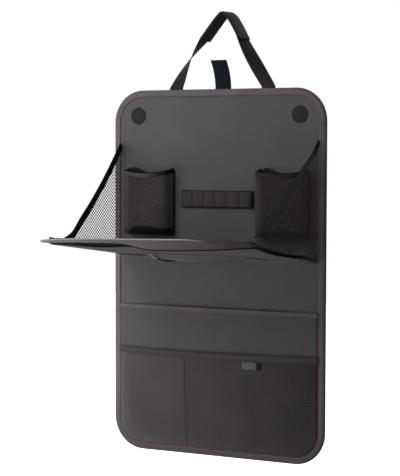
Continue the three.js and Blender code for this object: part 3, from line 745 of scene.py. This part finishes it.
def make_pen_strip():
    """Elastic sewn down at uneven seams: between two seams it stands off the panel in a flat arch."""
    low, high = box_mm("pen_loops")
    share = np.linspace(0, 1, 13)[:-1]
    arch = np.sin(math.pi * share) ** 0.6
    pairs = zip(PEN_SEAMS, PEN_SEAMS[1:])
    columns = [np.stack([left + share * (right - left), arch], 1) for left, right in pairs]
    line = np.concatenate([*columns, [[PEN_SEAMS[-1], 0.0]]])
    waist = 1 - PEN_WAIST * np.cos(np.linspace(-math.pi, math.pi, 9))
    rows = np.linspace(low[2], high[2], 9)[:, None]
    grid = off_panel(line[:, 0], PEN_RISE * line[:, 1] * waist[:, None] + 0.55, rows)
    cloth("pen_elastic", grid, PEN_THICKNESS, "elastic", "pen_loops")

    # The open loop at the strip's right end, in black tape darker than the elastic: a loop, with painted
    # shade of its dark opening.
    turn = np.linspace(-0.62, 0.62, 12) * math.pi
    rows = np.linspace(low[2] - 0.5, high[2] + 0.5, 9)[:, None]
    grid = off_panel(PEN_SEAMS[-1] + PEN_END + PEN_END * np.sin(turn), 2.4 + 2.0 * np.cos(turn), rows)
    cloth("pen_end_loop", grid, PEN_THICKNESS, "dark_tape")
    for name, level in (("pen_edge_lower", low[2]), ("pen_edge_upper", high[2])):
        path = off_panel(line[:, 0], 0.9 + PEN_RISE * (1 + PEN_WAIST) * line[:, 1], level)
        strap(name, path, UP_WAY, BACK_WAY, stadium(1.5, 1.0), "dark_tape")
    for k, seam in enumerate(PEN_SEAMS):
        sewn = off_panel(seam, 1.3, np.array([low[2] + 1, high[2] - 1]))
        stitches(f"pen_seam_{k}", sewn, -BACK_WAY, "dark_thread", "panel", 2.6, 2.2, 0.6)


# Flat pockets


POCKET_SIDE = box_mm("middle_pocket_hem")[1][0]
POCKET_MARGIN = SIDE - POCKET_SIDE
POCKET_BASE = -TOP + POCKET_MARGIN
MIDDLE_TOP = box_mm("middle_pocket_hem")[1][2]
NET_TOP = box_mm("mesh_pocket_hem")[1][2]
MIDDLE_DEPTH = 4.5
NET_DEPTH = 5.0
NET_SAG = 3.0
HEM_PLACES = np.linspace(-1, 1, 90) * (POCKET_SIDE + 0.5)


def pocket_swell(x, z, top, depth):
    """How far a pocket's front stands off: nothing along its sewn sides and bottom, most below its mouth."""
    across = 1 - np.abs(x / POCKET_SIDE) ** 3.5
    height = (z - POCKET_BASE) / (top - POCKET_BASE)
    return depth * np.clip(across, 0, 1) * np.sin(np.clip(height, 0, 1) * math.pi * 0.62) ** 0.8


def middle_swell(x, z):
    return 1.0 + pocket_swell(x, z, MIDDLE_TOP, MIDDLE_DEPTH) + 0.5 * ripple(x, z)


def net_swell(x, z):
    return middle_swell(x, z) + 1.1 + pocket_swell(x, z, NET_TOP, NET_DEPTH)


def net_sag(x):
    """How far the elastic mouth of the net pocket sags: most at a quarter of its width."""
    share = np.clip((x + POCKET_SIDE) / (2 * POCKET_SIDE), 0, 1)
    return NET_SAG * np.sin(math.pi * share ** 0.6)


def make_middle_pocket():
    low, high = box_mm("middle_pocket_hem")
    x, z = panel_grid(POCKET_MARGIN, low=MIDDLE_TOP - 1.0, rows=40)
    grid = off_panel(x, middle_swell(x, z), z)
    pocket = cloth("middle_pocket_cloth", grid, 0.9, "pocket_cloth", "middle_pocket")
    # A dark sheet on the pocket cloth behind the net: painted shade of the gap between them.
    x, z = panel_grid(POCKET_MARGIN + 1, low=box_mm("mesh_pocket_hem")[0][2] - 1.0, rows=30)
    cloth("net_shade_sheet", off_panel(x, middle_swell(x, z) + 0.95, z), 0.6, "behind_net")
    z = (low[2] + high[2]) / 2
    path = off_panel(HEM_PLACES, middle_swell(HEM_PLACES, z) + 0.5, z)
    strap("middle_hem", path, UP_WAY, BACK_WAY, stadium(high[2] - low[2], 1.6), "hem_cloth",
          "middle_pocket_hem")
    seam = stitches("middle_hem_stitches", path + [0, -0.9, -2.3], -BACK_WAY, "thread")
    size = (2 * POCKET_SIDE * MM, (MIDDLE_TOP - POCKET_BASE) * MM)


def make_net_pocket():
    low, high = box_mm("mesh_pocket_hem")
    corner = PANEL_CORNER - POCKET_MARGIN

    def inside(u, v):
        over_x = np.maximum(0, np.abs(u - POCKET_SIDE) - (POCKET_SIDE - corner))
        over_z = np.maximum(0, corner - v)
        below = v < NET_TOP - POCKET_BASE - net_sag(u - POCKET_SIDE) - 5
        return (np.hypot(over_x, over_z) < corner - 0.5) & below

    def lay(u, v):
        x, z = u - POCKET_SIDE, v + POCKET_BASE
        return off_panel(x, net_swell(x, z), z)

    size = (2 * POCKET_SIDE, NET_TOP - POCKET_BASE)
    net("mesh_pocket_net", size, WIDE_CELL, inside, lay, "pocket_mesh", "mesh_pocket", 0.78, 4)
    z = (low[2] + high[2]) / 2 - net_sag(HEM_PLACES)
    path = off_panel(HEM_PLACES, net_swell(HEM_PLACES, z) + 0.3, z)
    strap("mesh_hem", path, UP_WAY, BACK_WAY, stadium(high[2] - low[2], 1.4), "hem_tape",
          "mesh_pocket_hem")
    for k, drop in enumerate((4.6, -4.2)):
        stitches(f"mesh_hem_stitches_{k}", path + [0, -0.8, drop], -BACK_WAY, "dark_thread",
                 "panel", 3.0, 2.2, 0.35)


def make_divider():
    low, high = box_mm("pocket_divider")
    x, z = (low[0] + high[0]) / 2, np.linspace(low[2], high[2] - 2, 50)
    path = off_panel(x, net_swell(x, z) - 0.1, z)
    # The divider tape takes the painted shade of the sheet behind the net.
    strap("divider_tape", path, RIGHT_WAY, BACK_WAY, stadium(5.4, 1.1), "behind_net",
          "pocket_divider")
    stitches("divider_stitches", path + [0, -0.8, 0], -BACK_WAY, "dark_thread", "panel",
             3.2, 2.3, 0.4)


def make_tag():
    for name, node, finish, start in (("tag_cloth", "woven_tag", "label", TAG_START),
                                      ("tag_tail", "tag_loop", "dark_tape", 0.0)):
        low, high = box_mm(node)
        x, z = np.meshgrid(np.linspace(low[0] + start, high[0], 12), np.linspace(low[2], high[2], 6))
        curl = 0.6 * np.sin((x - low[0]) / 14) + 0.3 * np.sin(z / 5)
        cloth(name, off_panel(x, net_swell(x, z) + 1.2 + curl, z), 0.6, finish, node)


# Bottle pockets


CUP_ROUND = 9.0
CUP_DIP = 5.0
CUP_EARS = 4.5
BACK_PLACES = [-1, -0.8, -0.55, -0.25, 0.3, 0.7, 1]
BACK_HEIGHTS = [-1, 5, 4, -1.5, -2.5, 0.5, 5]
CUP_FLOOR_ROUND = 15.0
CUP_BOW = 2.2
CUP_BAND = 7
CUP_BAND_THICKNESS = 1.8


def press(made):
    """Gives the piece its own copy of its mesh."""
    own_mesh(made)


def cup_plan(width, depth, count=61):
    """Plan of a bottle pocket's wall from the panel round to the panel again, and its length: two sides,
    round front corners and a bowed front."""
    half = width / 2
    turn = np.linspace(math.pi / 2, 0, 9)
    left = np.stack([-half + CUP_ROUND * (1 - np.sin(turn)), depth - CUP_ROUND * (1 - np.cos(turn))], 1)
    middle = np.linspace(-half + CUP_ROUND, half - CUP_ROUND, 15)[1:-1]
    front = np.stack([middle, depth + CUP_BOW * np.cos(middle / half * math.pi / 2)], 1)
    line = np.concatenate([[[-half, 0.0]], left, front, left[::-1] * [-1, 1], [[half, 0.0]]])
    return evenly(line, count), lengths_along(line)[-1]


def cup_lay(centre, width, depth, floor, dip_from):
    """Puts the flat cloth of a bottle pocket in place: u runs round the wall and v up it. The wall
    curves back to the panel at its foot, and its mouth dips in the middle."""
    plan, length = cup_plan(width, depth)
    along = np.linspace(0, length, len(plan))

    def lay(u, v):
        x = np.interp(u, along, plan[:, 0])
        out = np.interp(u, along, plan[:, 1])
        foot = np.sqrt(np.clip(1 - (1 - np.clip(v / CUP_FLOOR_ROUND, 0, 1)) ** 2, 0, 1))
        front = out / depth
        rise = ease(v / dip_from)
        dip = CUP_DIP * rise ** 2 * front * np.cos(x / (width / 2) * math.pi / 2)
        lean = 3.0 * rise * front * np.sin(math.pi * (x / width + 0.5))
        crumple = 0.7 * np.sin(x / 9 + v / 17) * front
        ears = CUP_EARS * rise ** 2 * (1 - front) ** 2
        return off_panel(centre + x * (0.965 + 0.035 * foot), 0.3 + out * foot - lean - crumple,
                         floor + v - dip + ears)

    return lay, length


def make_cup_pocket(side):
    low, high = box_mm(f"cup_pocket_{side}")
    mouth = box_mm(f"cup_hem_{side}")[1][2]
    width, depth = high[0] - low[0] + 1.0, high[1] - low[1] - 3.0
    centre = (low[0] + high[0]) / 2 - 6.0
    height = mouth - low[2]
    lay, length = cup_lay(centre, width, depth, low[2], height)
    pieces = [net(f"cup_net_{side}", (length, height - 4), FINE_CELL, lambda u, v: (u > 1) & (v > 3), lay,
                  f"cup_mesh_{side}", f"cup_pocket_{side}")]
    # A dark base cloth at the pocket's foot, shaped after the shade where the net bunches there: partly the
    # base, partly painted shade.
    u, v = np.meshgrid(np.linspace(0, length, 61), np.linspace(0, 1, 9))
    v = v * (4 + 12 * ease((u / length - 0.2) / 0.22) - 3 * ease((u / length - 0.6) / 0.1))
    pieces.append(cloth(f"cup_base_shade_{side}", lay(u, v), 0.8, "dark_tape", place=np.stack([u, v], -1)))
    u, v = np.meshgrid(np.linspace(-0.5, length + 0.5, 81), np.linspace(height - CUP_BAND, height, 7))
    pieces.append(cloth(f"cup_band_{side}", lay(np.clip(u, 0, length), v), CUP_BAND_THICKNESS,
                        f"cup_band_{side}", f"cup_hem_{side}", place=np.stack([u, v], -1)))
    # A dark sheet on the panel inside each bottle pocket: painted shade of the pocket's inside.
    x, share = np.meshgrid(np.linspace(-width / 2, width / 2, 30), np.linspace(0, 1, 30))
    edge = mouth + profile(x / width * 2, BACK_PLACES, BACK_HEIGHTS)
    z = low[2] + 1 + share * (edge - low[2] - 1)
    bulge = 5.0 * np.sin(math.pi * (x / width + 0.5)) * ease((z - low[2]) / 60)
    back = off_panel(centre + x, 0.6 + bulge, z)
    pieces.append(cloth(f"cup_back_shade_{side}", back, 0.6, "cup_shade_cloth", place=np.stack([x, z], -1)))
    z = np.linspace(low[2] + 3, mouth - 1, 40)
    for end, sign in (("inner", -1), ("outer", 1)):
        path = off_panel(centre + sign * (width / 2 + 1.5), 0.5, z)
        strap(f"cup_seam_{side}_{end}", path, RIGHT_WAY, BACK_WAY, stadium(4.5, 0.9), "dark_tape")
    for made in pieces:
        press(made)


# Gussets


# Middle line of each band, as (y, z), from the panel to the tray's front
GUSSET_LINES = {
    "left": [(-4.8, 218), (-22, 199), (-54, 165.5), (-95, 127), (-138, 91.6), (-170, 66.0), (-185, 61.2),
             (-236, 66.4)],
    "right": [(-4.8, 224), (-20, 209), (-73, 176), (-151, 130), (-204, 101), (-252, 78)],
}
GUSSET_BAND = {"left": 13.0, "right": 8.0}
GUSSET_REACH = {"left": 184.0, "right": 246.0}
GUSSET_OPENNESS = {"left": 0.76, "right": 0.74}
GUSSET_TURN = {"left": 0.0, "right": math.radians(34)}
GUSSET_SIZE = (250, 200)
GUSSET_SLACK = 1.5


def make_gusset(side, sign):
    """Net between the panel, the tray and a black band, in the plane beside the tray."""
    level = box_mm(f"gusset_mesh_{side}")[1 if sign > 0 else 0][0] - sign * 0.4
    line = curve_through(GUSSET_LINES[side], 70)
    path = np.stack([np.full(len(line), level), line[:, 0], line[:, 1]], 1)
    slope = unit(np.gradient(line, axis=0))
    flat = np.stack([np.zeros(len(line)), slope[:, 1], -slope[:, 0]], 1)
    share = np.linspace(0, 1, len(line))
    turn = (GUSSET_TURN[side] * np.sin(math.pi * share) ** 0.3)[:, None]
    across = flat * np.cos(turn) - RIGHT_WAY * np.sin(turn)
    through = flat * np.sin(turn) + RIGHT_WAY * np.cos(turn)
    taper = 1 - 0.66 * ease((share - 0.8) / 0.12)
    band = strap(f"gusset_band_{side}", path, across, through, stadium(GUSSET_BAND[side], 1.8), "dark_tape",
                 f"gusset_edge_{side}", widths=taper)
    order = np.argsort(-line[:, 0])

    def inside(u, v):
        reach, z = u - PANEL_FRONT, v + HINGE[2]
        band_height = np.interp(reach, -line[order, 0], line[order, 1])
        tray_height = HINGE[2] + (reach + HINGE[1]) * math.tan(TILT) + 0.5
        return (z < band_height - 1.5) & (z > tray_height) & (reach < GUSSET_REACH[side]) & (u > 0.5)

    def lay(u, v):
        outer = np.sin(np.clip(u / 200, 0, 1) * math.pi) * np.sin(np.clip(v / 190, 0, 1) * math.pi)
        return off_panel(level + sign * (GUSSET_SLACK * outer - 0.6), u, v + HINGE[2])

    mesh = net(f"gusset_net_{side}", GUSSET_SIZE, GUSSET_CELL, inside, lay, f"mesh_{side}",
               f"gusset_mesh_{side}", GUSSET_OPENNESS[side])
    for made in (band, mesh):
        press(made)


# Straps


# Middle line of the webbing, as (x, height above the panel's top), from left to right
ARCH = [(-79, 0), (-62.8, 29), (-50.3, 48.5), (-38.8, 62.9), (-28.5, 75), (-18.8, 86.5), (-4.6, 103.8),
        (7, 117), (15.9, 123.9), (24.5, 119), (33, 107.5), (44.5, 87.5), (57.5, 62.5), (74, 33.5), (94, 0)]
ARCH_FOOT = 3.0
ARCH_STEPS = 112
ARCH_FIRST = 35
ARCH_LAST = 79
TWIST_STEPS = 37
WEBBING_WIDTH = 25.6
WEBBING_THICKNESS = 1.3
PILE_THICKNESS = 0.9
PILE_LIFT = 0.55
TAB_WIDTH = 29.7
TAB_THICKNESS = 1.4
WEBBING_MIDDLE = -2.6
ROOT_DEPTH = 9.0
STRAP_SPACING = 1.7
TOP_TURN = math.radians(16)


def rooted(path):
    """A path with one point before it, where the webbing is sewn in between the panel's layers."""
    return np.concatenate([path[:1] * [1, 1, 0] + [0, 0, TOP - ROOT_DEPTH], path])


def arch_strap(name, first, last, sign, lift, thickness, finish, node, turned=False):
    """Webbing along part of the arch. It leaves the panel flat to the front and turns a quarter
    before the top, or is turned all the way where turned is given."""
    line = curve_through(ARCH, ARCH_STEPS + 1)
    slope = unit(np.gradient(line, axis=0))
    way = 1 if last > first else -1
    steps = np.arange(first, last + way, way)
    zero = np.zeros(len(steps))
    share = np.ones(len(steps)) if turned else np.minimum(1, np.arange(len(steps)) / TWIST_STEPS)
    turn = (math.radians(90 * sign) - TOP_TURN) * share
    across = np.stack([np.cos(turn), np.sin(turn), zero], 1)
    out = unit(np.cross(np.stack([slope[steps, 0], zero, slope[steps, 1]], 1), across))
    above = np.stack([-slope[steps, 1], zero, slope[steps, 0]], 1)
    path = np.stack([line[steps, 0], zero + WEBBING_MIDDLE, line[steps, 1] + TOP + ARCH_FOOT], 1)
    path = path + above * (lift * np.abs(np.sin(turn)))[:, None]
    if not turned:
        path = rooted(path)
        across, out = (np.concatenate([ways[:1], ways]) for ways in (across, out))
    strap(name, path, across, out, stadium(WEBBING_WIDTH, thickness), finish, node)


def make_straps():
    for side, first, last, sign in (("left", 0, ARCH_LAST, -1), ("right", ARCH_STEPS, ARCH_FIRST, 1)):
        arch_strap(f"webbing_{side}", first, last, sign, -sign * STRAP_SPACING, WEBBING_THICKNESS, "webbing",
                   f"strap_{side}")
    for name, sign, node in (("pile_upper", 1, "strap_hook_patch"), ("pile_lower", -1, "strap_loop_patch")):
        arch_strap(name, ARCH_FIRST + 2, ARCH_LAST - 2, 1, sign * PILE_LIFT, PILE_THICKNESS, "hook_tape",
                   node, turned=True)

    share = np.linspace(0, 1, 20)
    rise = box_mm("centre_tab")[1][2] - TOP
    path = np.stack([10.4 - 4 * share ** 2, WEBBING_MIDDLE - 11 * share ** 2, TOP + share * rise], 1)
    section = stadium(TAB_WIDTH, TAB_THICKNESS)
    strap("tab_tape", rooted(path), RIGHT_WAY, BACK_WAY, section, "tab_tape", "centre_tab")


# Tray


def tray_point(x, reach, height):
    """Place of a point given across the tray, from the hinge forward and above the tray's plane."""
    x, reach, height = (value[..., None] for value in np.broadcast_arrays(x, reach, height))
    return HINGE + x * RIGHT_WAY + reach * REACH_WAY + height * RISE_WAY


def cover_height(x, reach):
    """Height of the top cloth: flat over the board, lifted along its right side, dipped at the front
    fold and turned up at the flap. Returns the reach, which the turned-up flap shortens, and the height."""
    fold = profile(x, FOLD_PLACES, FOLD_HEIGHTS)
    tip = profile(x, TIP_PLACES, TIP_HEIGHTS)
    right = ease((x - 60) / (TRAY_SIDE - 60)) * profile(reach, RIGHT_REACHES, RIGHT_LIFTS)
    flat = -0.6 + right
    near = ease((reach - (FLAP_START - 14)) / 14)
    board = flat + (fold - flat) * near
    share = np.clip((reach - FLAP_START) / (TRAY_DEPTH - FLAP_START), 0, 1)
    rise = tip - fold
    flap = fold + rise * (0.85 * share + 0.15 * share ** 2)
    length = TRAY_DEPTH - FLAP_START
    shorter = np.sqrt(np.clip(length ** 2 - rise ** 2, 0, None))
    real_reach = np.where(reach > FLAP_START, FLAP_START + share * shorter, reach)
    return real_reach, np.where(reach > FLAP_START, flap, board)


def under_height(x, reach):
    """Height of the cloth under the board: it rises a little towards its left side and its front."""
    front = profile(x, UNDER_PLACES, UNDER_LIFTS) * np.clip((reach - 130) / 100, 0, 1) ** 2.5
    return UNDER_HEIGHT + UNDER_LEFT_LIFT * ease((-x - 90) / 95) - 0.9 * ease((x - 60) / 120) + front


def tray_rows(side, start, depth, corner, rows, columns):
    """Flat places across a tray layer with two round front corners, from the hinge forward."""
    turn = np.linspace(0, math.pi / 2, 10)
    straight = np.linspace(start, depth - corner, rows)
    reach = np.concatenate([straight, (depth - corner + corner * np.sin(turn))[1:]])
    inset = np.concatenate([np.zeros(rows), (corner * (1 - np.cos(turn)))[1:]])
    x = np.linspace(-1, 1, columns)[None] * (side - inset[:, None])
    return x, np.broadcast_to(reach[:, None], x.shape)


def flatten(made):
    """Gives the tray piece its own copy of its mesh."""
    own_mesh(made)


def tray_cloth(name, x, reach, height, thickness, finish, node=None):
    made = cloth(name, tray_point(x, reach, height), thickness, finish, node, "tray",
                 np.stack([x, reach], -1))
    flatten(made)
    return made


def tray_strip(name, path, width, thickness, thinnest, finish):
    """A narrow strip of cloth that stands up along a path on the tray and thins out towards both ends: the
    strips drawn with it are painted shade and a painted highlight.
    """
    out = unit(np.cross(np.gradient(path, axis=0), RISE_WAY))
    taper = thinnest + (1 - thinnest) * np.sin(np.linspace(0, math.pi, len(path))) ** 0.5
    flatten(strap(name, path, RISE_WAY, out, stadium(width, thickness), finish, body="tray",
                  widths=taper))


def cover_edge(margin):
    """Points on the top cloth round the tray's free edge drawn in by a margin, from the hinge on the left
    to the hinge on the right."""
    side, depth, corner = TRAY_SIDE - margin, TRAY_DEPTH - margin, TRAY_CORNER - margin
    turn = np.linspace(0, math.pi / 2, 12)
    left = np.stack([-side + corner * (1 - np.cos(turn)), depth - corner + corner * np.sin(turn)], 1)
    line = np.concatenate([[[-side, 9.0]], left, left[::-1] * [-1, 1], [[side, 9.0]]])
    x, reach = evenly(line, 240).T
    return tray_point(x, *cover_height(x, reach))


def make_tray():
    x, reach = tray_rows(TRAY_SIDE - TRAY_INSET, 0.5, TRAY_DEPTH - TRAY_INSET, TRAY_CORNER, 46, 90)
    real, height = cover_height(x, reach)
    tray_cloth("tray_top", x, real, height + 0.6, 1.0, "panel_cloth", "tray_top_cover")
    x, reach = tray_rows(TRAY_SIDE - TRAY_INSET, FLAP_START + 0.8, TRAY_DEPTH - TRAY_INSET, TRAY_CORNER - 1,
                         8, 90)
    real, height = cover_height(x, reach)
    puff = 0.4 * np.sin(np.clip((reach - FLAP_START) / 22, 0, 1) * math.pi)
    pad = tray_cloth("flap_pad", x, real, height - 0.9 - puff, 2.0, "flap_cloth",
                     "flap_padding")

    x, reach = tray_rows(TRAY_SIDE - 6.0, 3.0, FLAP_START - 2.0, 4.0, 40, 70)
    tray_cloth("tray_under", x, reach, under_height(x, reach), 1.2, "under_cloth",
               "tray_under_cover")
    x, reach = tray_rows(TRAY_SIDE - 14.0, 6.0, FLAP_START - 8.0, 4.0, 24, 40)
    tray_cloth("tray_core", x, reach, under_height(x, reach) + 1.3, 1.1, "board", "tray_board")

    edge = cover_edge(0.0)
    out = unit(edge - cover_edge(TRAY_TAPE))
    through = unit(np.cross(out, np.gradient(edge, axis=0)))
    section = fold_section(TRAY_TAPE, -1.6, 1.7, 0.7)
    flatten(strap("tray_edge_tape", edge, out, through, section, "tray_tape", "tray_binding",
                  "tray"))
    seam = edge - out * 6.4
    for side, sign in (("upper", 1), ("lower", -1)):
        flatten(stitches(f"tray_stitches_{side}", seam + through * sign * 1.6, RISE_WAY * sign, "dark_thread",
                         "tray", radius=0.2))
    # A dark strip with a bump along the flap's rim on the right: painted shade where the rim meets the panel
    # behind it.
    span = np.linspace(104, TRAY_SIDE - 1, 80)
    real, height = cover_height(span, np.full_like(span, 256.0))
    bump = 3.4 * np.sin(np.clip((span - 112) / 46, 0, 1) * math.pi) ** 1.2
    tray_strip("rim_shade_strip", tray_point(span, real - 3.0, height + 1.6 + bump), 2.2, 1.0, 0.4, "rim_shade_strip")

    # A dark sheet that hangs from the front fold: painted shade in the crease under the flap.
    span = np.linspace(-TRAY_SIDE + 5, TRAY_SIDE - 5, 120)
    real, height = cover_height(span, np.full_like(span, FLAP_START))
    drop, x = np.meshgrid(np.linspace(0, 1, 8), span, indexing="ij")
    gap = profile(span, GAP_PLACES, GAP_HEIGHTS)
    tray_cloth("crease_shade_sheet", x, real - 0.2 + 0 * drop, height - 0.6 - drop * (gap + 1.3), 0.6, "dark_tape")


def make_tray_dots():
    for side in ("left", "right"):
        low, high = box_mm(f"tray_dot_{side}")
        reach, rise = cover_height((low[0] + high[0]) / 2, np.array([240.0, 250.0]))
        centre, before = tray_point((low[0] + high[0]) / 2, reach, rise + 1.3)
        forward = unit(before - centre)
        out = np.cross(forward, RIGHT_WAY)
        dot = make_dot(f"tray_pile_{side}", centre, RIGHT_WAY, forward, out, "tray", f"tray_dot_{side}")
        for made in dot:
            flatten(made)


# Pouch under the tray


POUCH_LEFT = -86.0
POUCH_RIGHT = 100.0
POUCH_START = 5.0
POUCH_REACH = 88.0
POUCH_TAPE_REACH = 75.0
POUCH_PLACES = [-87, -63, -25, 15, 57, 72, 100]
POUCH_DROPS = [7.2, 8.2, 7.4, 5.2, 1.3, 0.7, 0.2]
POUCH_REACHES = [5, 9, 17.5, 44, 53, 62, 71, 88]
POUCH_SHARES = [0, 0.8, 1, 0.95, 0.76, 0.42, 0.08, 0]

# Strips under the tray, dark ones for painted shade and a light one for a painted highlight: places as (x,
# reach), width, distance below the cloth, and finish
UNDER_LINES = {
    "pouch_mouth_shade": ([(-86, 51), (-78, 49.5), (-66, 48), (-48, 47)], 4.8, 2.1, "dark_tape"),
    "pouch_inner_shade": ([(-77, 78), (-78, 66), (-78.5, 56), (-78, 48), (-75, 40)], 2.4, 1.4, "dark_tape"),
    "pouch_highlight": ([(-54, 49), (-30, 47), (-2, 45)], 2.2, 1.6, "lip_tape"),
    "hinge_shadow_line": ([(-148, 14), (-132, 22), (-116, 31)], 2.4, 1.2, "dark_tape"),
}


def pouch_height(x, reach, lower=1.2):
    """Height of the slack pouch, or of something lower by more. It hangs most at its mouth and near the
    hinge, and not at all at its far end or beside it."""
    beside = ease((x - POUCH_LEFT + 6) / 5)
    drop = beside * profile(x, POUCH_PLACES, POUCH_DROPS) * profile(reach, POUCH_REACHES, POUCH_SHARES)
    return under_height(x, reach) - lower - drop


def make_pouch():
    x, share = np.meshgrid(np.linspace(POUCH_LEFT, POUCH_RIGHT, 50), np.linspace(0, 1, 40))
    reach = POUCH_START + share ** 1.6 * (POUCH_REACH - POUCH_START)
    pouch = tray_cloth("pouch_cloth", x, reach, pouch_height(x, reach), 0.8, "under_cloth",
                       "under_pouch")
    reach = POUCH_START + np.linspace(0, 1, 60) ** 1.6 * (POUCH_TAPE_REACH - POUCH_START)
    x = np.full_like(reach, POUCH_LEFT - 0.5)
    path = tray_point(x, reach, pouch_height(x, reach))
    out = np.cross(RIGHT_WAY, unit(np.gradient(path, axis=0)))
    flatten(strap("pouch_tape", path, RIGHT_WAY, out, stadium(6.0, 2.6), "lip_tape",
                  "pouch_mouth_tape", "tray"))
    for name, (places, width, lower, finish) in UNDER_LINES.items():
        x, reach = curve_through(places, 60).T
        tray_strip(name, tray_point(x, reach, pouch_height(x, reach, lower)), width, 0.9, 0.15, finish)


# Hinge


def make_hinge():
    """Fold of cloth between the panel and the tray, and the piped seam along it."""
    low, high = box_mm("hinge_strip")
    x = np.linspace(low[0], high[0], 60)
    _, y, z = HINGE
    line = curve_through([(PANEL_FRONT - 0.4, high[2] + 4), (PANEL_FRONT - 1.2, high[2] - 2),
                          (y + 2.0, z - 2.5), (y - 3.0, z - 3.4), (y - 11.0, z - 2.9)], 14)
    grid = np.stack(np.broadcast_arrays(x, line[:, :1], line[:, 1:]), -1)
    place = np.stack(np.broadcast_arrays(x, lengths_along(line)[:, None]), -1)
    made = cloth("hinge_cloth", grid, 0.9, "under_cloth", "hinge_strip", None, place)
    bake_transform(made)
    strap("hinge_piping", off_panel(x, 2.6, z - 5.5), UP_WAY, BACK_WAY, stadium(3.2, 2.2), "edge_tape")


# Stage


# Lamps: place, point looked at, power in watts and side in metres
LAMPS = {
    "low_key": ((-0.6, -0.54, -0.15), (0, 0, -0.04), 4.7, 0.4),
    "high_key": ((-0.5, -1.05, 0.9), (0, 0, 0.25), 14, 0.8),
    "fill": ((0.5, -2.4, 0.6), (0, 0, 0.1), 2, 1.6),
    "rear": ((0.8, 2.0, 1.2), (0, 0, 0), 18, 1.6),
}
WORLD_STRENGTH = 0.24
FLOOR_REACH = 4.0
FLOOR_LEVEL = -0.46


def posed(name, data, right, up, back, place):
    """Adds a camera or lamp with given axes, which looks away from the last one."""
    made = bpy.data.objects.new(name, data)
    turned = np.eye(4)
    turned[:3] = np.stack([right, up, back, place], 1)
    made.matrix_world = Matrix(turned.tolist())
    bpy.context.scene.collection.objects.link(made)
    return made


def make_camera():
    yaw, pitch, roll = CAMERA_YAW, CAMERA_PITCH, CAMERA_ROLL
    back = np.array([math.sin(yaw) * math.cos(pitch), -math.cos(yaw) * math.cos(pitch), math.sin(pitch)])
    level = np.array([math.cos(yaw), math.sin(yaw), 0.0])
    upright = np.cross(back, level)
    right = math.cos(roll) * level + math.sin(roll) * upright
    up = math.cos(roll) * upright - math.sin(roll) * level
    data = bpy.data.cameras.new("camera")
    data.sensor_width = SENSOR_MM
    data.lens = FOCAL_PIXELS / LONG_SIDE_PIXELS * SENSOR_MM
    bpy.context.scene.camera = posed("camera", data, right, up, back, CAMERA_PLACE)


def make_lamps():
    for name, (place, aim, power, size) in LAMPS.items():
        data = bpy.data.lights.new(name, "AREA")
        data.energy = power
        data.size = size
        back = unit(np.subtract(place, aim))
        level = unit(np.cross(UP_WAY, back))
        posed(name, data, level, np.cross(back, level), back, place)


def make_stage():
    """White background for the camera and mirrors, a dim one for all other light, and a pale floor."""
    scene = bpy.context.scene
    scene.view_settings.view_transform = "Standard"
    world = bpy.data.worlds.new("studio")
    scene.world = world
    world.use_nodes = True
    tree = world.node_tree
    ground = tree.nodes["Background"]
    ray = tree.nodes.new("ShaderNodeLightPath")
    seen = tree.nodes.new("ShaderNodeMath")
    seen.operation = "MAXIMUM"
    strength = tree.nodes.new("ShaderNodeMapRange")
    strength.inputs["To Min"].default_value = WORLD_STRENGTH
    strength.inputs["To Max"].default_value = 1.0
    tree.links.new(ray.outputs["Is Camera Ray"], seen.inputs[0])
    tree.links.new(ray.outputs["Is Glossy Ray"], seen.inputs[1])
    tree.links.new(seen.outputs[0], strength.inputs["Value"])
    tree.links.new(strength.outputs[0], ground.inputs["Strength"])
    ground.inputs["Color"].default_value = (1, 1, 1, 1)

    mesh = bpy.data.meshes.new("floor")
    square = ((-1, -1), (1, -1), (1, 1), (-1, 1))
    corners = [(x * FLOOR_REACH, y * FLOOR_REACH, FLOOR_LEVEL) for x, y in square]
    mesh.from_pydata(corners, [], [(0, 1, 2, 3)])
    floor = bpy.data.objects.new("floor", mesh)
    scene.collection.objects.link(floor)
    recipe = Recipe("pale_floor", 0.0, 1.0)
    recipe.shader.inputs["Emission Strength"].default_value = 1.0
    seen = recipe.node("ShaderNodeLightPath", output=0)
    recipe.feed(recipe.shader.inputs["Emission Color"], recipe.blend(seen, (0, 0, 0, 1), (1, 1, 1, 1)))
    mesh.materials.append(recipe.finish((0.8, 0.8, 0.8, 1)))


make_camera()
make_stage()
make_lamps()
make_panel()
make_panel_dots()
make_pen_strip()
make_middle_pocket()
make_net_pocket()
make_divider()
make_tag()
for cup_side in ("left", "right"):
    make_cup_pocket(cup_side)
make_gusset("left", -1)
make_gusset("right", 1)
make_straps()
make_tray()
make_tray_dots()
make_pouch()
make_hinge()
